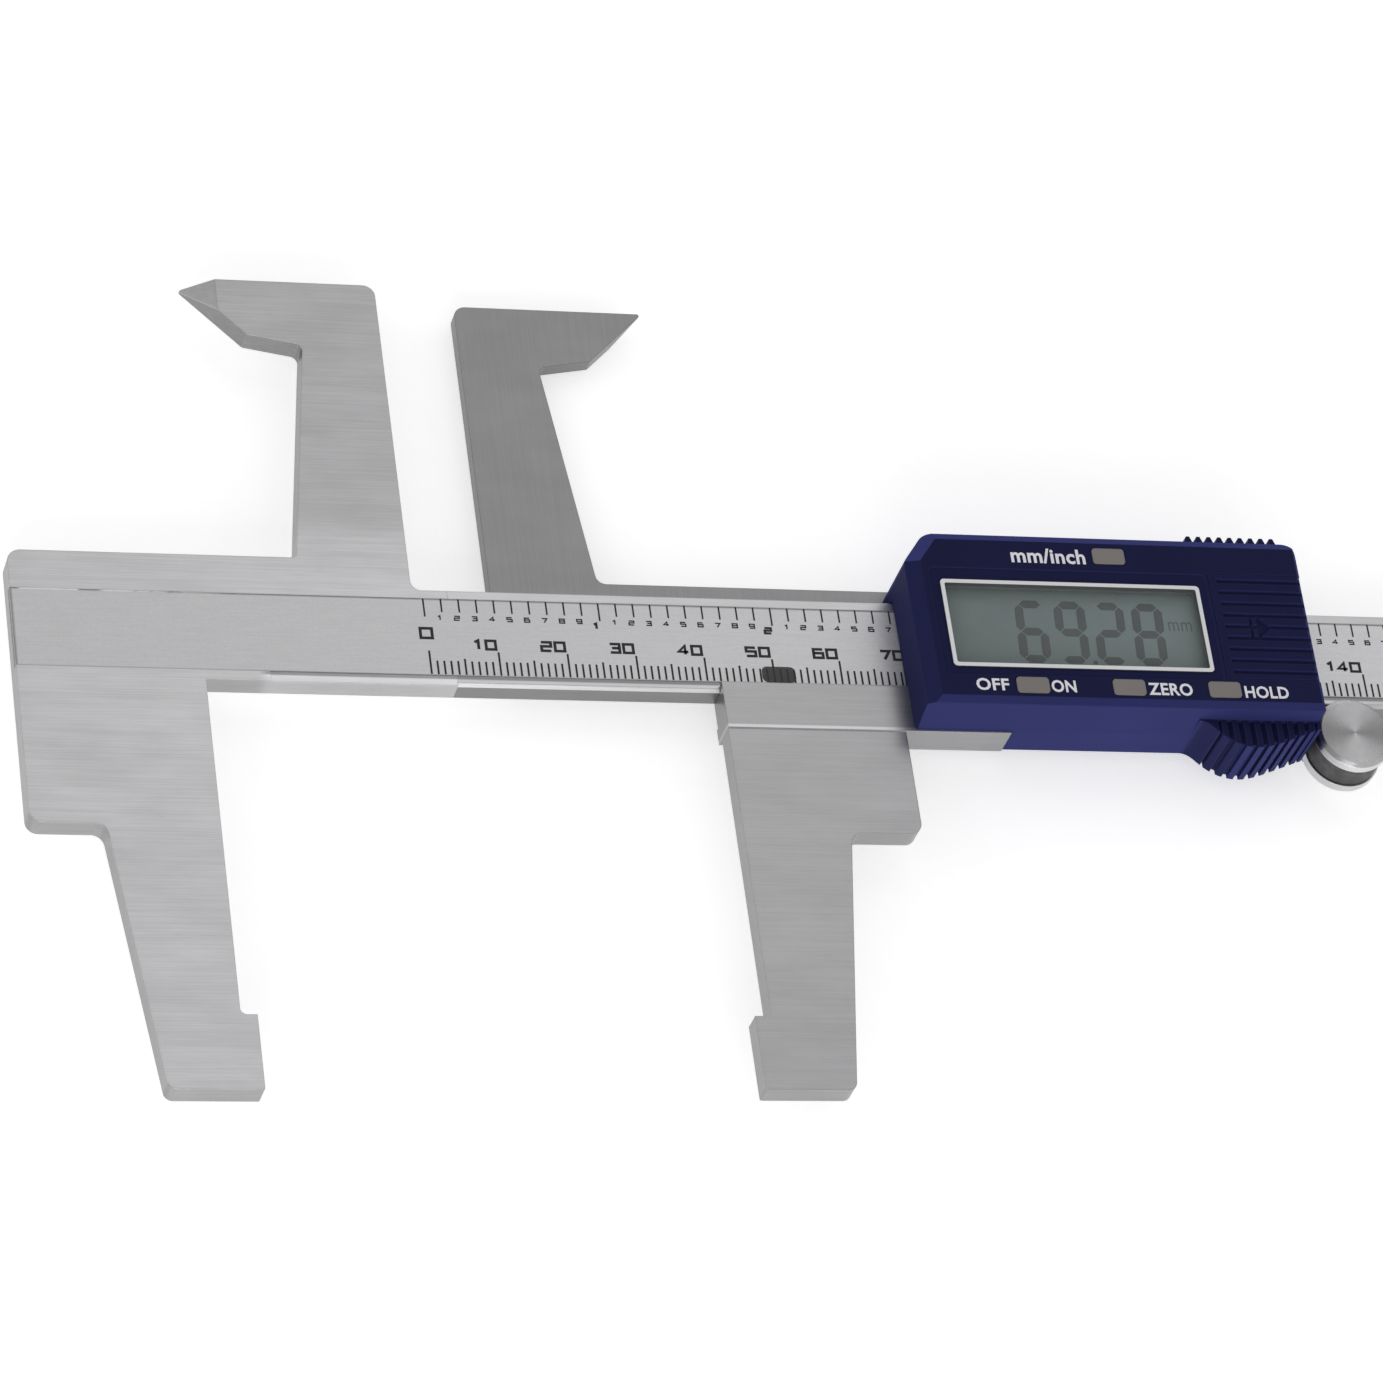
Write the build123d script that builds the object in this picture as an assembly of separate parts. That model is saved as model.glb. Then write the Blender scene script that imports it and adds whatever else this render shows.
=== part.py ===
from build123d import *
import os

os.makedirs("parts", exist_ok=True)

# Digital caliper, lying on its back. +X runs along the beam in the direction of a growing
# reading, +Y towards the knife-edge jaws, +Z out of the display. The origin is the centre
# of the fixed lower jaw's measuring face. All sizes are in millimetres.

# ---- driving sizes: the measurement itself
READING = 69.28
MEASURING_RANGE = 200.0
SCALE_ZERO = 29.9

# ---- beam and fixed jaw
BEAM_THICKNESS = 3.5
BEAM_HEIGHT = 15.3
BEAM_SPARE = 3.7
JAW_DEPTH = 63.3
FOOT_HEIGHT = 11.3
FOOT_RELIEF = 2.3
FOOT_FILLET = 0.9
LEG_TIP_WIDTH = 13.0
LEG_ROOT_WIDTH = 18.1
SHOULDER_WIDTH = 28.6
SHOULDER_DEPTH = 23.0
SHOULDER_RADIUS = 1.8
HEAD_RISE = 4.8
STUB_END = 33.5
BLADE_HEIGHT = 51.3
BLADE_OUTER = 28.4
BLADE_ROOT = 12.4
BLADE_NECK = 16.8
BLADE_NECK_DROP = 10.7
BLADE_HOOK = 8.8
BLADE_TIP_RADIUS = 0.3
MOVING_BLADE_DROP = 0.65
BLADE_HOOK_DROP = 9.25
KNIFE_WIDTH = 5.0
BLADE_FILLET = 1.5
EDGE_CHAMFER = 0.6
LAND_START = 6.9
LAND_DROP = 0.15

# ---- scale bedded in the beam
SCALE_MARGIN = 1.56
SCALE_TOP_MARGIN = 1.29
SCALE_END_GAP = 2.0
STRIP_THICKNESS = 0.8
PLATE_THICKNESS = 0.35
PLATE_SINK = 0.05

# ---- slide: rail with the lower jaw, back plate with the upper jaw
RUN_CLEARANCE = 0.05
RAIL_PROUD = 1.0
RAIL_BEHIND = 0.6
RAIL_HEIGHT = 6.4
LIP_HEIGHT = 1.0
LEG_THICKNESS = 3.3
LEG_STEP = 0.2
BACK_PLATE_THICKNESS = 2.2
BACK_PLATE_RISE = 4.1
BACK_PLATE_OVERLAP = 4.0
BACK_PLATE_SHORT_LIFT = 3.0
TOP_LIP_HEIGHT = 1.2
GIB_THICKNESS = 0.75
GIB_END_GAP = 0.8
GUIDE_END_GAP = 2.0
SET_SCREW_RADIUS = 1.0
SET_SCREW_STAND = 0.6
SET_SCREW_ACCESS = 0.3

# ---- housing
HOUSING_DEPTH = 8.2
HOUSING_ABOVE = 7.1
HOUSING_BELOW = 6.1
HOUSING_WALL = 1.1
FRONT_WALL = 1.0
LEFT_WALL = 1.4
HOUSING_GAP = 0.35
FACE_BEVEL = 1.1
FACE_BEVEL_DEPTH = 0.4
LEFT_BEVEL = 2.2
LEFT_BEVEL_DEPTH = 0.9
BOTTOM_DRAFT = 0.5
ZONE_DEPTH = 0.12
ZONE_LEFT = 3.2
ZONE_RIGHT = 45.2
ZONE_LOW = -1.1
ZONE_HIGH = 16.6
CORNER_CUT_X = 3.4
CORNER_CUT_Y = 4.6
SKIRT_START = 14.5
SKIRT_CLEARANCE = 0.1
BACK_COVER_THICKNESS = 1.35
BACK_COVER_GAP = 0.05
BACK_COVER_INSET = 1.0
BACK_COVER_NOTCH = 12.5
TEETH = 9
TEETH_PITCH = 1.61
TEETH_FROM_END = 16.1
TOOTH_WIDTH = 1.45
TOOTH_TOP = 0.5
TOOTH_HEIGHT = 1.0
TOOTH_INSET = 0.55

# ---- thumb rest under the housing's right end
REST_LENGTH = 18.5
REST_FRONT = 5.2
REST_RIBS = 9
RIB_PITCH = 1.68
RIB_WIDTH = 0.9
RIB_DEPTH = 0.65
RIB_FROM_END = 14.9

# ---- display, keys, board and battery
BEZEL_LEFT = 4.6
BEZEL_LENGTH = 39.3
BEZEL_DROP = 0.75
BEZEL_LIFT = 0.2
BEZEL_RIM = 0.6
BEZEL_DEPTH = 1.4
BEZEL_PROUD = 0.1
WINDOW_SINK = 0.75
WINDOW_THICKNESS = 0.5
PANEL_THICKNESS = 1.8
PANEL_OVERLAP = 0.5
PANEL_TOP = 6.0
PICKUP_GAP = 0.25
PICKUP_THICKNESS = 0.95
BOARD_LEVEL = 1.25
BOARD_THICKNESS = 0.8
BOARD_MARGIN = 0.2
CHIP_SIDE = 7.0
CHIP_THICKNESS = 0.9
KEY_WIDTH = 4.85
KEY_HEIGHT = 2.55
KEY_CORNER = 0.5
KEY_GAP = 0.1
KEY_PROUD = 0.15
KEY_FLANGE = 0.5
KEY_FLANGE_THICKNESS = 0.65
KEY_TRAVEL = 0.45
STEM_WIDTH = 2.2
STEM_HEIGHT = 1.6
DOME_RADIUS = 1.5
DOME_HEIGHT = 0.4
LOWER_KEY_LIFT = -2.7
LOWER_KEY_START = 15.95
LOWER_KEY_PITCH = 14.5
UPPER_KEY_X = 30.9
UPPER_KEY_LIFT = 3.85
CELL_RADIUS = 5.8
CELL_HEIGHT = 5.4
CELL_CAP_RADIUS = 4.6
CELL_CAP_HEIGHT = 1.0
CELL_END_GAP = 0.5
CELL_LEVEL = 1.45
CELL_CLEARANCE = 0.2
CONTACT_THICKNESS = 0.2
DISPLAY_DOOR_GAP = 1.8
DOOR_LAP = 1.2
DOOR_BELOW = 0.7
DOOR_ABOVE = 1.4
DOOR_THICKNESS = 0.7
TONGUE_REACH = 0.35
TONGUE_THICKNESS = 0.5
DOOR_CLEARANCE = 0.12
DOOR_TRAVEL = 16.0
DOOR_GROOVES = 9
GROOVE_PITCH = 1.9
GROOVE_WIDTH = 0.7
GROOVE_DEPTH = 0.35
ARROW_START = 5.0
ARROW_BAR = 0.45
ARROW_HEAD = 2.3
ARROW_HEIGHT = 3.9
ARROW_DEPTH = 0.45

# ---- thumb roller
ROLLER_END_GAP = 0.9
ROLLER_GAP = 0.1
TYRE_RADIUS = 5.45
DISC_RADIUS = 5.7
DISC_THICKNESS = 1.75
DISC_GAP = 0.25
ROLLER_BACK_GAP = 0.3
CONE_HEIGHT = 0.45
HUB_RADIUS = 3.2
AXLE_RADIUS = 1.0
AXLE_FIT = 0.05
AXLE_SHORT = 0.8
TYRE_ROUND = 0.3
BRACKET_THICKNESS = 0.7
BRACKET_RADIUS = 2.6
BRACKET_LENGTH = 18.0

# ---- screws
SCREW_RADIUS = 1.0
SCREW_FIT = 0.02
SCREW_HOLE = 1.15
HEAD_RADIUS = 1.9
HEAD_HEIGHT = 0.9
PAN_HEAD_HEIGHT = 0.6
SLOT_WIDTH = 0.45
SLOT_DEPTH = 0.4
BOSS_RADIUS = 1.6
END_STOP_LENGTH = 6.0
END_STOP_HEIGHT = 9.0
END_STOP_THICKNESS = 1.45

# ---- levels and places that follow from the sizes
FOOT_LOW = -FOOT_HEIGHT / 2
FOOT_HIGH = FOOT_HEIGHT / 2
BEAM_LOW = FOOT_LOW + JAW_DEPTH
BEAM_HIGH = BEAM_LOW + BEAM_HEIGHT
FRONT = BEAM_THICKNESS / 2
BACK = -BEAM_THICKNESS / 2
BLADE_TOP = BEAM_HIGH + BLADE_HEIGHT
SCALE_LOW = BEAM_LOW + SCALE_MARGIN
SCALE_HIGH = BEAM_HIGH - SCALE_TOP_MARGIN
BED_FLOOR = FRONT - STRIP_THICKNESS - PLATE_THICKNESS - PLATE_SINK
RAIL_FRONT = FRONT + RAIL_PROUD
RAIL_BACK = BACK - RAIL_BEHIND
RAIL_LOW = BEAM_LOW - RAIL_HEIGHT
PLATE_FRONT = BACK - RUN_CLEARANCE
PLATE_BACK = PLATE_FRONT - BACK_PLATE_THICKNESS
PLATE_LOW = BEAM_LOW - BACK_PLATE_OVERLAP
PLATE_HIGH = BEAM_HIGH + BACK_PLATE_RISE
HOUSE_LEFT = SCALE_ZERO + READING
BEZEL_X0 = HOUSE_LEFT + BEZEL_LEFT
BEZEL_X1 = BEZEL_X0 + BEZEL_LENGTH
DOOR_X0 = BEZEL_X1 + DISPLAY_DOOR_GAP
CELL_MID_X = DOOR_X0 + DOOR_LAP + CELL_RADIUS
HOUSE_RIGHT = CELL_MID_X + CELL_RADIUS + CELL_END_GAP + HOUSING_WALL
HOUSE_LOW = BEAM_LOW - HOUSING_BELOW
HOUSE_HIGH = BEAM_HIGH + HOUSING_ABOVE
HOUSE_FRONT = FRONT + HOUSING_DEPTH
SKIRT_X = HOUSE_LEFT + SKIRT_START
CAVITY_LEFT = HOUSE_LEFT + LEFT_WALL
CAVITY_RIGHT = HOUSE_RIGHT - HOUSING_WALL
CAVITY_LOW = HOUSE_LOW + HOUSING_WALL
CAVITY_HIGH = HOUSE_HIGH - HOUSING_WALL
CAVITY_FRONT = HOUSE_FRONT - FRONT_WALL
GUIDE_LEFT = HOUSE_LEFT + GUIDE_END_GAP
GUIDE_RIGHT = HOUSE_RIGHT - GUIDE_END_GAP
GUIDE_LOW = BEAM_HIGH + GIB_THICKNESS + RUN_CLEARANCE
GUIDE_MID = (GUIDE_LOW + PLATE_HIGH) / 2
RAIL_MID = (PLATE_LOW + BEAM_LOW - RUN_CLEARANCE) / 2
COVER_FRONT = PLATE_BACK - BACK_COVER_GAP
COVER_BACK = COVER_FRONT - BACK_COVER_THICKNESS
BOARD_LOW = FRONT + BOARD_LEVEL
BOARD_HIGH = BOARD_LOW + BOARD_THICKNESS
BEZEL_Y0 = BEAM_LOW + BEZEL_LIFT
BEZEL_Y1 = BEAM_HIGH - BEZEL_DROP
PANEL_HIGH = FRONT + PANEL_TOP
PANEL_LOW = PANEL_HIGH - PANEL_THICKNESS
LOWER_KEY_Y = BEAM_LOW + LOWER_KEY_LIFT
UPPER_KEY_Y = BEAM_HIGH + UPPER_KEY_LIFT
KEYS = {
    "key_off_on": (HOUSE_LEFT + LOWER_KEY_START, LOWER_KEY_Y),
    "key_zero": (HOUSE_LEFT + LOWER_KEY_START + LOWER_KEY_PITCH, LOWER_KEY_Y),
    "key_hold": (HOUSE_LEFT + LOWER_KEY_START + 2 * LOWER_KEY_PITCH, LOWER_KEY_Y),
    "key_mm_inch": (HOUSE_LEFT + UPPER_KEY_X, UPPER_KEY_Y),
}
DOOR_Y0 = BEAM_LOW - DOOR_BELOW
DOOR_Y1 = BEAM_HIGH + DOOR_ABOVE
DOOR_MID = (DOOR_Y0 + DOOR_Y1) / 2
TONGUE_HIGH = HOUSE_FRONT - DOOR_THICKNESS
TONGUE_LOW = TONGUE_HIGH - TONGUE_THICKNESS
CELL_CENTRE = (CELL_MID_X, DOOR_MID)
CELL_LOW = FRONT + CELL_LEVEL
ROLLER_CENTRE = (HOUSE_RIGHT + ROLLER_END_GAP + DISC_RADIUS, BEAM_LOW - ROLLER_GAP - TYRE_RADIUS)
BEAM_END = ROLLER_CENTRE[0] + DISC_RADIUS + MEASURING_RANGE - READING + BEAM_SPARE
DISC_LOW = FRONT + DISC_GAP
DISC_HIGH = DISC_LOW + DISC_THICKNESS
BACK_DISC_HIGH = BACK - ROLLER_BACK_GAP
BACK_DISC_LOW = BACK_DISC_HIGH - DISC_THICKNESS
BRACKET_BACK = COVER_FRONT - BRACKET_THICKNESS
HOUSING_SCREWS = [
    (HOUSE_LEFT + 6.3, GUIDE_MID),
    (HOUSE_RIGHT - 5.8, GUIDE_MID),
    (HOUSE_LEFT + 6.3, RAIL_MID),
    (HOUSE_LEFT + LOWER_KEY_START + 1.5 * LOWER_KEY_PITCH, RAIL_MID),
]
JAW_SCREWS = [
    (READING + 10.0, RAIL_MID),
    (READING + 23.0, RAIL_MID),
    (HOUSE_LEFT + 22.5, RAIL_MID),
    (HOUSE_LEFT + 19.0, GUIDE_MID),
    (HOUSE_RIGHT - 18.1, GUIDE_MID),
]
BRACKET_SCREWS = [
    (HOUSE_RIGHT - 8.6, RAIL_MID + 0.6),
    (HOUSE_RIGHT - 3.6, RAIL_MID + 0.6),
]
SET_SCREWS = [HOUSE_LEFT + 12.8, HOUSE_RIGHT - 12.1]
END_STOP_X = HOUSE_RIGHT + MEASURING_RANGE - READING + 1.0


def block(x0, x1, y0, y1, z0, z1):
    """A box between two corners."""
    centre = Pos((x0 + x1) / 2, (y0 + y1) / 2, (z0 + z1) / 2)
    return centre * Box(x1 - x0, y1 - y0, z1 - z0)


def plate(corners, low, high):
    """A flat piece with the outline (x, y, corner radius), from one level to another."""
    points = [(x, y) for x, y, radius in corners]
    radii = [radius for x, y, radius in corners]
    outline = make_face(FilletPolyline(*points, radius=radii, close=True))
    return Pos(0, 0, low) * extrude(outline, high - low)


def rounded(x0, x1, y0, y1, radius, low, high):
    """A flat rectangular piece with four equal corner radii."""
    corners = [(x0, y0, radius), (x1, y0, radius), (x1, y1, radius), (x0, y1, radius)]
    return plate(corners, low, high)


def post(place, radius, low, high):
    """An upright cylinder at (x, y)."""
    return Pos(place[0], place[1], (low + high) / 2) * Cylinder(radius, high - low)


def shave(part, point, outward):
    """Cut away what lies beyond a plane through a point."""
    return split(part, bisect_by=Plane(origin=point, z_dir=outward), keep=Keep.BOTTOM)


def save(part, name):
    """Write one piece to its own file."""
    part.label = name
    export_step(part, f"parts/{name}.step")


def knife_corners(mirror, low, high_side, drop):
    """Upper jaw corners from the blade's outer foot round its point to its inner root."""
    place = (lambda x: x) if mirror is None else (lambda x: mirror - x)
    return [
        (place(BLADE_OUTER), low, high_side),
        (place(BLADE_OUTER), BLADE_TOP - drop, 1.8),
        (place(0), BLADE_TOP - drop, BLADE_TIP_RADIUS),
        (place(BLADE_HOOK), BLADE_TOP - BLADE_HOOK_DROP, 0.6),
        (place(BLADE_NECK), BLADE_TOP - BLADE_NECK_DROP, 1.2),
    ]


def fixed_jaw():
    """The head with both fixed jaws and a stub that the beam is joined to."""
    corners = [
        (0, FOOT_LOW, 0.3),
        (0, FOOT_HIGH, 0),
        (-FOOT_RELIEF, FOOT_HIGH, FOOT_FILLET),
        (-FOOT_RELIEF, BEAM_LOW, 0.3),
        (STUB_END, BEAM_LOW, 0),
        (STUB_END, BEAM_HIGH, 0),
    ]
    corners += knife_corners(None, BEAM_HIGH, BLADE_FILLET, 0)
    corners += [
        (BLADE_ROOT, BEAM_HIGH + HEAD_RISE, 0.8),
        (-SHOULDER_WIDTH, BEAM_HIGH + HEAD_RISE, 2.0),
        (-SHOULDER_WIDTH, BEAM_LOW - SHOULDER_DEPTH, SHOULDER_RADIUS),
        (-LEG_ROOT_WIDTH, BEAM_LOW - SHOULDER_DEPTH, SHOULDER_RADIUS),
        (-LEG_TIP_WIDTH, FOOT_LOW, 1.3),
    ]
    jaw = plate(corners, BACK, FRONT)
    jaw -= scale_bed(-SHOULDER_WIDTH - 1, STUB_END + 1)
    jaw -= block(LAND_START, STUB_END + 1, BEAM_LOW - 1, SCALE_LOW, FRONT - LAND_DROP, FRONT + 1)
    return jaw - knife_cut([(0, BACK), (KNIFE_WIDTH, FRONT), (-1, FRONT), (-1, BACK)])


def knife_cut(section):
    """A prism along Y, its section given as (x, z), that leaves a knife edge on a blade."""
    face = make_face(Polyline(*[(x, 0, z) for x, z in section], close=True))
    low = BEAM_HIGH + BLADE_HEIGHT / 2
    return Pos(0, low, 0) * extrude(face, BLADE_HEIGHT, dir=(0, 1, 0))


def scale_bed(x0, x1):
    """The recess that the strip and the scale plate lie in."""
    return block(x0, x1, SCALE_LOW, SCALE_HIGH, BED_FLOOR, FRONT + 1)


def beam():
    """The ruled bar from the fixed jaw's stub to the free end."""
    bar = rounded(STUB_END, BEAM_END, BEAM_LOW, BEAM_HIGH, 0, BACK, FRONT)
    free_corners = bar.edges().filter_by(Axis.Z).group_by(Axis.X)[-1]
    bar = fillet(free_corners, 1.5)
    bar -= scale_bed(STUB_END - 1, BEAM_END - SCALE_END_GAP)
    bar -= block(STUB_END - 1, BEAM_END + 1, BEAM_LOW - 1, SCALE_LOW, FRONT - LAND_DROP, FRONT + 1)
    corner = (STUB_END, BEAM_LOW, FRONT - EDGE_CHAMFER)
    bar = shave(bar, corner, (0, -1, 1))
    for x, y in end_stop_screw_places():
        bar -= post((x, y), SCREW_RADIUS + SCREW_FIT, BACK - 1, BED_FLOOR - 0.4)
    return bar


def end_stop_screw_places():
    """The two screws of the end stop, one above the other."""
    x = END_STOP_X + END_STOP_LENGTH / 2
    middle = BEAM_LOW + BEAM_HEIGHT / 2
    return [(x, middle - END_STOP_HEIGHT / 4), (x, middle + END_STOP_HEIGHT / 4)]


def end_stop():
    """A block on the back of the beam that keeps the slide on."""
    middle = BEAM_LOW + BEAM_HEIGHT / 2
    x1 = END_STOP_X + END_STOP_LENGTH
    y0 = middle - END_STOP_HEIGHT / 2
    y1 = middle + END_STOP_HEIGHT / 2
    stop = rounded(END_STOP_X, x1, y0, y1, 0.8, BACK - END_STOP_THICKNESS, BACK)
    for place in end_stop_screw_places():
        stop -= back_screw_space(place, BACK - END_STOP_THICKNESS, BACK + 1)
    return stop


def back_screw(place, head_back, tip):
    """A countersunk screw put in from behind, with a cross slot."""
    shank = post(place, SCREW_RADIUS, head_back + HEAD_HEIGHT / 2, tip)
    head = Cone(HEAD_RADIUS, SCREW_RADIUS, HEAD_HEIGHT)
    screw = shank + Pos(place[0], place[1], head_back + HEAD_HEIGHT / 2) * head
    for length, width in ((HEAD_RADIUS * 1.2, SLOT_WIDTH), (SLOT_WIDTH, HEAD_RADIUS * 1.2)):
        screw -= Pos(place[0], place[1], head_back) * Box(length, width, 2 * SLOT_DEPTH)
    return screw


def back_screw_space(place, surface, end):
    """The countersink and clearance hole for such a screw."""
    bore = post(place, SCREW_HOLE, surface - 1, end)
    wide = HEAD_RADIUS + SCREW_FIT
    narrow = SCREW_RADIUS + SCREW_FIT
    sink = Pos(place[0], place[1], surface + HEAD_HEIGHT / 2) * Cone(wide, narrow, HEAD_HEIGHT)
    return bore + sink


def pan_screw(place, seat, tip):
    """A pan-head screw put in from behind, with a cross slot."""
    shank = post(place, SCREW_RADIUS, seat, tip)
    head = post(place, HEAD_RADIUS, seat - PAN_HEAD_HEIGHT, seat)
    head = fillet(head.edges().filter_by(GeomType.CIRCLE).sort_by(Axis.Z)[0], 0.25)
    screw = shank + head
    for length, width in ((HEAD_RADIUS * 1.2, SLOT_WIDTH), (SLOT_WIDTH, HEAD_RADIUS * 1.2)):
        slot = Box(length, width, 2 * SLOT_DEPTH)
        screw -= Pos(place[0], place[1], seat - PAN_HEAD_HEIGHT) * slot
    return screw


def group(pieces):
    """Several separate solids in one node."""
    return Compound(children=[solid for piece in pieces for solid in piece.solids()])


def screw_holes(places, radius, low, high):
    """Straight holes at several places."""
    return [post(place, radius, low, high) for place in places]


def moving_lower_jaw():
    """Rail under the beam with the lower jaw and a lip in front of the beam's land."""
    left = READING + FOOT_RELIEF
    rail_right = HOUSE_RIGHT - SKIRT_CLEARANCE - HOUSING_WALL
    top = BEAM_LOW - RUN_CLEARANCE
    rail = block(left, rail_right, RAIL_LOW, top, RAIL_BACK, RAIL_FRONT)
    lip_back = FRONT + RUN_CLEARANCE
    rail += block(left, rail_right, top, BEAM_LOW + LIP_HEIGHT, lip_back, RAIL_FRONT)
    rail -= block(SKIRT_X - 0.1, rail_right + 1, RAIL_LOW - 1, CAVITY_LOW + SKIRT_CLEARANCE,
                  RAIL_BACK - 1, RAIL_FRONT + 1)
    leg_front = RAIL_FRONT - LEG_STEP
    corners = [
        (READING, FOOT_LOW, 0.3),
        (READING + LEG_TIP_WIDTH, FOOT_LOW, 1.3),
        (READING + LEG_ROOT_WIDTH, BEAM_LOW - SHOULDER_DEPTH, SHOULDER_RADIUS),
        (READING + SHOULDER_WIDTH, BEAM_LOW - SHOULDER_DEPTH, SHOULDER_RADIUS),
        (READING + SHOULDER_WIDTH, RAIL_LOW + 1, 0),
        (left, RAIL_LOW + 1, 0),
        (left, FOOT_HIGH, FOOT_FILLET),
        (READING, FOOT_HIGH, 0),
    ]
    jaw = rail + plate(corners, leg_front - LEG_THICKNESS, leg_front)
    jaw -= block(left - 1, rail_right + 1, PLATE_LOW - 0.02, BEAM_LOW + 1, RAIL_BACK - 1, PLATE_FRONT)
    for hole in screw_holes(HOUSING_SCREWS[2:], SCREW_HOLE, RAIL_BACK - 1, RAIL_FRONT + 1):
        jaw -= hole
    blind = screw_holes(JAW_SCREWS[:3] + BRACKET_SCREWS, SCREW_RADIUS + SCREW_FIT, RAIL_BACK - 1, FRONT)
    for hole in blind:
        jaw -= hole
    return jaw


def moving_upper_jaw():
    """Back plate behind the beam with the upper jaw."""
    blade = knife_corners(READING, BEAM_LOW + BACK_PLATE_SHORT_LIFT, 2.0, MOVING_BLADE_DROP)
    right = HOUSE_RIGHT - SKIRT_CLEARANCE
    step = READING + FOOT_RELIEF + 3.5
    corners = blade + [
        (READING - BLADE_ROOT, PLATE_HIGH, 1.5),
        (right, PLATE_HIGH, 1.5),
        (right, PLATE_LOW, 1.5),
        (step, PLATE_LOW, 1.5),
        (step, BEAM_LOW + BACK_PLATE_SHORT_LIFT, 1.5),
    ]
    jaw = plate(corners, PLATE_BACK, PLATE_FRONT)
    edge = READING - KNIFE_WIDTH
    beyond = READING + 1
    jaw -= knife_cut([(READING, PLATE_FRONT), (edge, PLATE_BACK), (beyond, PLATE_BACK), (beyond, PLATE_FRONT)])
    for hole in screw_holes(HOUSING_SCREWS, SCREW_HOLE, PLATE_BACK - 1, PLATE_FRONT + 1):
        jaw -= hole
    for hole in screw_holes(BRACKET_SCREWS, SCREW_RADIUS + SCREW_FIT, PLATE_BACK - 1, PLATE_FRONT + 1):
        jaw -= hole
    for place in JAW_SCREWS:
        jaw -= back_screw_space(place, PLATE_BACK, PLATE_FRONT + 1)
    return jaw


def top_guide():
    """Steel guide above the beam, with a lip in front of it."""
    lip_low = BEAM_HIGH - TOP_LIP_HEIGHT
    guide = block(GUIDE_LEFT, GUIDE_RIGHT, GUIDE_LOW, PLATE_HIGH, PLATE_FRONT, RAIL_FRONT)
    lip_back = FRONT + RUN_CLEARANCE
    guide += block(GUIDE_LEFT, GUIDE_RIGHT, lip_low, GUIDE_LOW, lip_back, RAIL_FRONT)
    for hole in screw_holes(HOUSING_SCREWS[:2], SCREW_HOLE, PLATE_FRONT - 1, RAIL_FRONT + 1):
        guide -= hole
    blind = screw_holes(JAW_SCREWS[3:], SCREW_RADIUS + SCREW_FIT, PLATE_FRONT - 1, FRONT)
    for hole in blind:
        guide -= hole
    for x in SET_SCREWS:
        guide -= set_screw_shape(x, SET_SCREW_RADIUS + SCREW_FIT, GUIDE_LOW - 1, PLATE_HIGH + 1)
    return guide


def set_screw_shape(x, radius, low, high):
    """A cylinder along Y at mid-thickness of the beam."""
    return Pos(x, (low + high) / 2, 0) * Rot(90, 0, 0) * Cylinder(radius, high - low)


def gib_strip():
    """Brass strip that takes up the play between the guide and the beam."""
    low = BEAM_HIGH + RUN_CLEARANCE / 2
    return block(GUIDE_LEFT + GIB_END_GAP, GUIDE_RIGHT - GIB_END_GAP, low, low + GIB_THICKNESS,
                 BACK + RUN_CLEARANCE, FRONT - RUN_CLEARANCE)


def gib_set_screws():
    """Two slotted screws that press on the gib."""
    low = BEAM_HIGH + RUN_CLEARANCE / 2 + GIB_THICKNESS
    high = PLATE_HIGH + SET_SCREW_STAND
    screws = []
    for x in SET_SCREWS:
        screw = set_screw_shape(x, SET_SCREW_RADIUS, low, high)
        screws.append(screw - Pos(x, high, 0) * Box(3, 2 * SLOT_DEPTH, SLOT_WIDTH))
    return group(screws)


def house_plan():
    """Outline of the housing from the front."""
    return [
        (HOUSE_LEFT, HOUSE_LOW, 0.6),
        (HOUSE_RIGHT, HOUSE_LOW, 1.0),
        (HOUSE_RIGHT, HOUSE_HIGH, 2.0),
        (HOUSE_LEFT + CORNER_CUT_X, HOUSE_HIGH, 2.0),
        (HOUSE_LEFT, HOUSE_HIGH - CORNER_CUT_Y, 2.0),
    ]


def cut_corner_plan(left, right, low, high):
    """Outline inside the housing that keeps clear of its cut corner."""
    return [
        (left, low, 0),
        (right, low, 0),
        (right, high, 0),
        (left + 0.8 * CORNER_CUT_X, high, 0),
        (left, high - 0.8 * CORNER_CUT_Y, 0),
    ]


def rest_outline(inset):
    """Rounded thumb rest below the housing, drawn in by an inset."""
    x = HOUSE_RIGHT - REST_LENGTH
    low = HOUSE_LOW
    curve = Spline(
        (x, low),
        (x + 2.6, low - 1.75 + inset),
        (x + 5.0, low - 3.5 + inset),
        (x + 8.0, low - 4.2 + inset),
        (x + 13.0, low - 3.0 + inset),
        (HOUSE_RIGHT, low - 0.9 + inset),
        tangents=[(1, -0.12), (1, 0.38)],
    )
    back = Polyline((HOUSE_RIGHT, low - 0.9 + inset), (HOUSE_RIGHT, low + 1), (x, low + 1), (x, low))
    return make_face(Curve() + [curve, back])


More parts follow.
